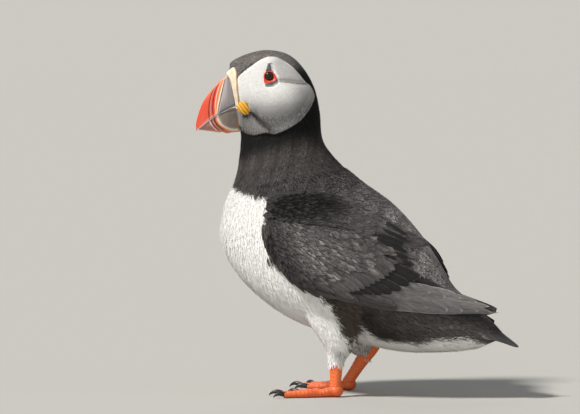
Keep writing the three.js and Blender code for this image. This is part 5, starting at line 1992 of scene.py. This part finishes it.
# %% Eyes
EYE_WIDE, EYE_DEEP = 3.75, 4.5
IRIS = np.array([0.035, 0.022, 0.014])
WET_EYE, _, _ = new_material(
    "wet eye", Roughness=0.12, Specular_IOR_Level=0.3, Coat_Weight=0.2, Coat_Roughness=0.05
)


def eyeball_pieces():
    """A ball turned about the sideways line: its radius is the sine of the angle from the pupil."""
    tilt, around = net((0.02, np.pi - 0.02, 60), (0, 2 * np.pi, 64), closed=True)
    radius = EYE_WIDE * np.sin(tilt)
    y, z = EYE_Y + radius * np.cos(around), EYE_Z + radius * np.sin(around)
    shape = np.stack([EYE_OUT + EYE_DEEP * np.cos(tilt), y, z], -1)
    behind = np.where(tilt < np.pi / 2, radius, 9)
    stops = bands((0, 1.25, BLACK * 0.3)) + [(1.4, IRIS), (2.2, IRIS * 0.7)] + bands((2.5, 9, BLACK * 0.4))
    on_both_sides("eyeball", shape, painted(behind, stops), WET_EYE, ["eye"])


eyeball_pieces()

# %% Eye rings and plates
RING_INNER, RING_DEPTH = 2.8, 0.8


def eye_ring_pieces():
    """A lid that rises from the eyeball as a soft roll and sinks under the feathers, with two corners."""
    out, around = net((0, 1, 17), (0, 2 * np.pi, 144), closed=True)
    outer = ring_reach(EYE_Y + np.cos(around), EYE_Z + np.sin(around)) + 0.5
    radius = RING_INNER + (outer - RING_INNER) * out
    y, z = EYE_Y + radius * np.cos(around), EYE_Z + radius * np.sin(around)
    ball = EYE_OUT + EYE_DEEP * np.sqrt(1 - (RING_INNER / EYE_WIDE) ** 2)
    x = ball + (head_side(y, z, folded=True) - 0.15 - ball) * step(out, 0.0, 0.8)
    x = x + 0.55 * np.sin(np.pi * out) ** 0.8 - 0.5 * step(out, 0.85, 1.0)
    shape = np.stack([x, y, z], -1)
    red = RING_RED * (1 + 0.12 * streaks(around * 2, out * 4, 5, 23))[..., None]
    paint = mix(red, BLACK, 0.8 * step(out, 0.18, 0.02))
    shape = np.concatenate([shape, shape[::-1] - [RING_DEPTH, 0, 0]])
    corners = shape.reshape(-1, 3)
    faces = facing_out(corners, *grid_faces(*shape.shape[:2], closed=True, closed_rows=True))
    paint = np.concatenate([paint, paint[::-1]]).reshape(-1, 3)
    on_both_sides("eye_ring", corners, paint, BARE_SKIN, [], faces=faces)


def plate_pieces(name, outline, node):
    """A pillow of horn over an outline: rows of the outline shrunk towards its middle, raised between."""
    outline = np.array(outline)
    closed = np.concatenate([outline, outline[:1]])
    lengths = np.concatenate([[0], np.cumsum(np.linalg.norm(np.diff(closed, axis=0), axis=1))])
    walk = np.linspace(0, lengths[-1], 90, endpoint=False)
    edge = np.stack([np.interp(walk, lengths, closed[:, k]) for k in (0, 1)], -1)
    edge = edge * 0.6 + 0.2 * np.roll(edge, 1, 0) + 0.2 * np.roll(edge, -1, 0)
    middle = outline.mean(0)
    share = np.linspace(0.02, 1.12, 20)[:, None]
    y, z = np.moveaxis(middle + (edge - middle) * share[..., None], -1, 0)
    height = 0.75 * np.sqrt(np.clip(1 - share**4, 0, 1)) + 0.1 - 0.8 * step(share, 0.98, 1.12)
    shape = np.stack([head_side(y, z, folded=True) + height, y, z], -1)
    tone = 1 + 0.5 * (share - 0.5) + 0.2 * streaks(y * 2, z * 3, 5, 29)
    paint = np.clip(PLATE_BLUE * tone[..., None], 0, 1)
    on_both_sides(name, shape, paint, HORN, [node], with_ends(shape)[:, 1:] / 10)


eye_ring_pieces()
plate_pieces("brow_horn", UPPER_PLATE, "brow_plate")
plate_pieces("lid_horn", LOWER_PLATE, "lid_plate")


# %% [markdown]
# ## Light, floor and camera
# The bird stands on a plain pale floor, flat and so wide that its edge cannot be told from the sky. The
# main light comes from high on the left, before the bird, like the sun through a thin veil; three broad
# weak ones fill the shadow side, and the world gives an even light. All of them come from far off, so the
# floor is lit the same everywhere. The camera looks at the bird's left side, a little from before the
# shoulder and just above its belly, through a long lens. A studio would bend a paper roll up behind the
# bird; a flat floor and a sky of its own tone look the same and show no bend from any side.

# %% Floor
FLOOR_PAPER, FLOOR_HALF = (0.46, 0.45, 0.425, 1), 150.0  # colour, and metres from the bird to each edge
PAPER, _, _ = new_material(
    "pale floor", painted=False, Base_Color=FLOOR_PAPER, Roughness=1.0, Specular_IOR_Level=0.0
)


def floor_piece():
    """A flat sheet so wide that it meets the sky far off on every side."""
    x, y = net((-FLOOR_HALF, FLOOR_HALF, 3), (-FLOOR_HALF, FLOOR_HALF, 3))
    ground = np.stack([x, y, 0 * x], -1).reshape(-1, 3) / MILLIMETRE - SHIFT
    piece = write_mesh("floor", ground, *facing_out(ground, *grid_faces(3, 3), way=(0, 0, 1)))
    piece.data.materials.append(PAPER)
    print("floor", 2 * FLOOR_HALF, "m wide")


floor_piece()

# %% Camera
LOOK_AT = (np.array([8.0, -27.9, 120.6]) + SHIFT) * MILLIMETRE
CAMERA_TURN, CAMERA_TILT = np.radians(106), np.radians(2.5)
CAMERA_AWAY = 2.078


def aim(thing, place, target):
    """Stands a camera or lamp at a place and turns it to look at a target."""
    thing.location = place
    thing.rotation_euler = Vector(np.asarray(target) - np.asarray(place)).to_track_quat("-Z", "Y").to_euler()


bpy.context.scene.view_settings.view_transform = "Standard"
camera = bpy.data.objects.new("camera", bpy.data.cameras.new("camera"))
bpy.context.scene.collection.objects.link(camera)
camera.data.lens = 200
camera.data.sensor_width = 36
camera.data.clip_end = 400
flat_share = np.cos(CAMERA_TILT)
backwards = np.array([np.sin(CAMERA_TURN) * flat_share, -np.cos(CAMERA_TURN) * flat_share,
    np.sin(CAMERA_TILT)])
aim(camera, LOOK_AT + backwards * CAMERA_AWAY, LOOK_AT)
bpy.context.scene.camera = camera
print("camera at", np.array(camera.location).round(3))


# %% Lamps and sky
SEEN_SKY = (0.605, 0.587, 0.540)  # what the camera sees beyond the floor: the tone of the lit floor itself


def far_lamp(name, place, width, power, colour):
    """Light from the direction of a place, even over the whole floor, from a disc of the given width."""
    lamp = bpy.data.objects.new(name, bpy.data.lights.new(name, "SUN"))
    lamp.data.angle, lamp.data.energy, lamp.data.color = np.radians(width), power, colour
    bpy.context.scene.collection.objects.link(lamp)
    aim(lamp, place, (0, 0, 0.12))
    return lamp


far_lamp("sun", (1.1, -1.25, 2.05), 9, 3.9, (1.0, 0.975, 0.93))
far_lamp("low fill", (1.5, 0.1, 0.35), 40, 0.75, (1.0, 0.99, 0.97))
far_lamp("far fill", (-1.2, -0.8, 1.0), 60, 0.55, (0.9, 0.95, 1.0))
far_lamp("rear", (0.2, 1.6, 1.2), 50, 0.2, (1.0, 1.0, 1.0))
sky = bpy.data.worlds.new("sky")
sky.use_nodes = True
tree = sky.node_tree
even_light = feed(tree.nodes["Background"], Color=(0.78, 0.8, 0.82, 1), Strength=0.28)
seen = add_node(tree, "Background", Color=(*SEEN_SKY, 1))
rays = add_node(tree, "LightPath")
blend = add_node(tree, "MixShader", Fac=rays.outputs["Is Camera Ray"])
tree.links.new(even_light.outputs["Background"], blend.inputs[1])
tree.links.new(seen.outputs["Background"], blend.inputs[2])
feed(tree.nodes["World Output"], Surface=blend.outputs["Shader"])
bpy.context.scene.world = sky
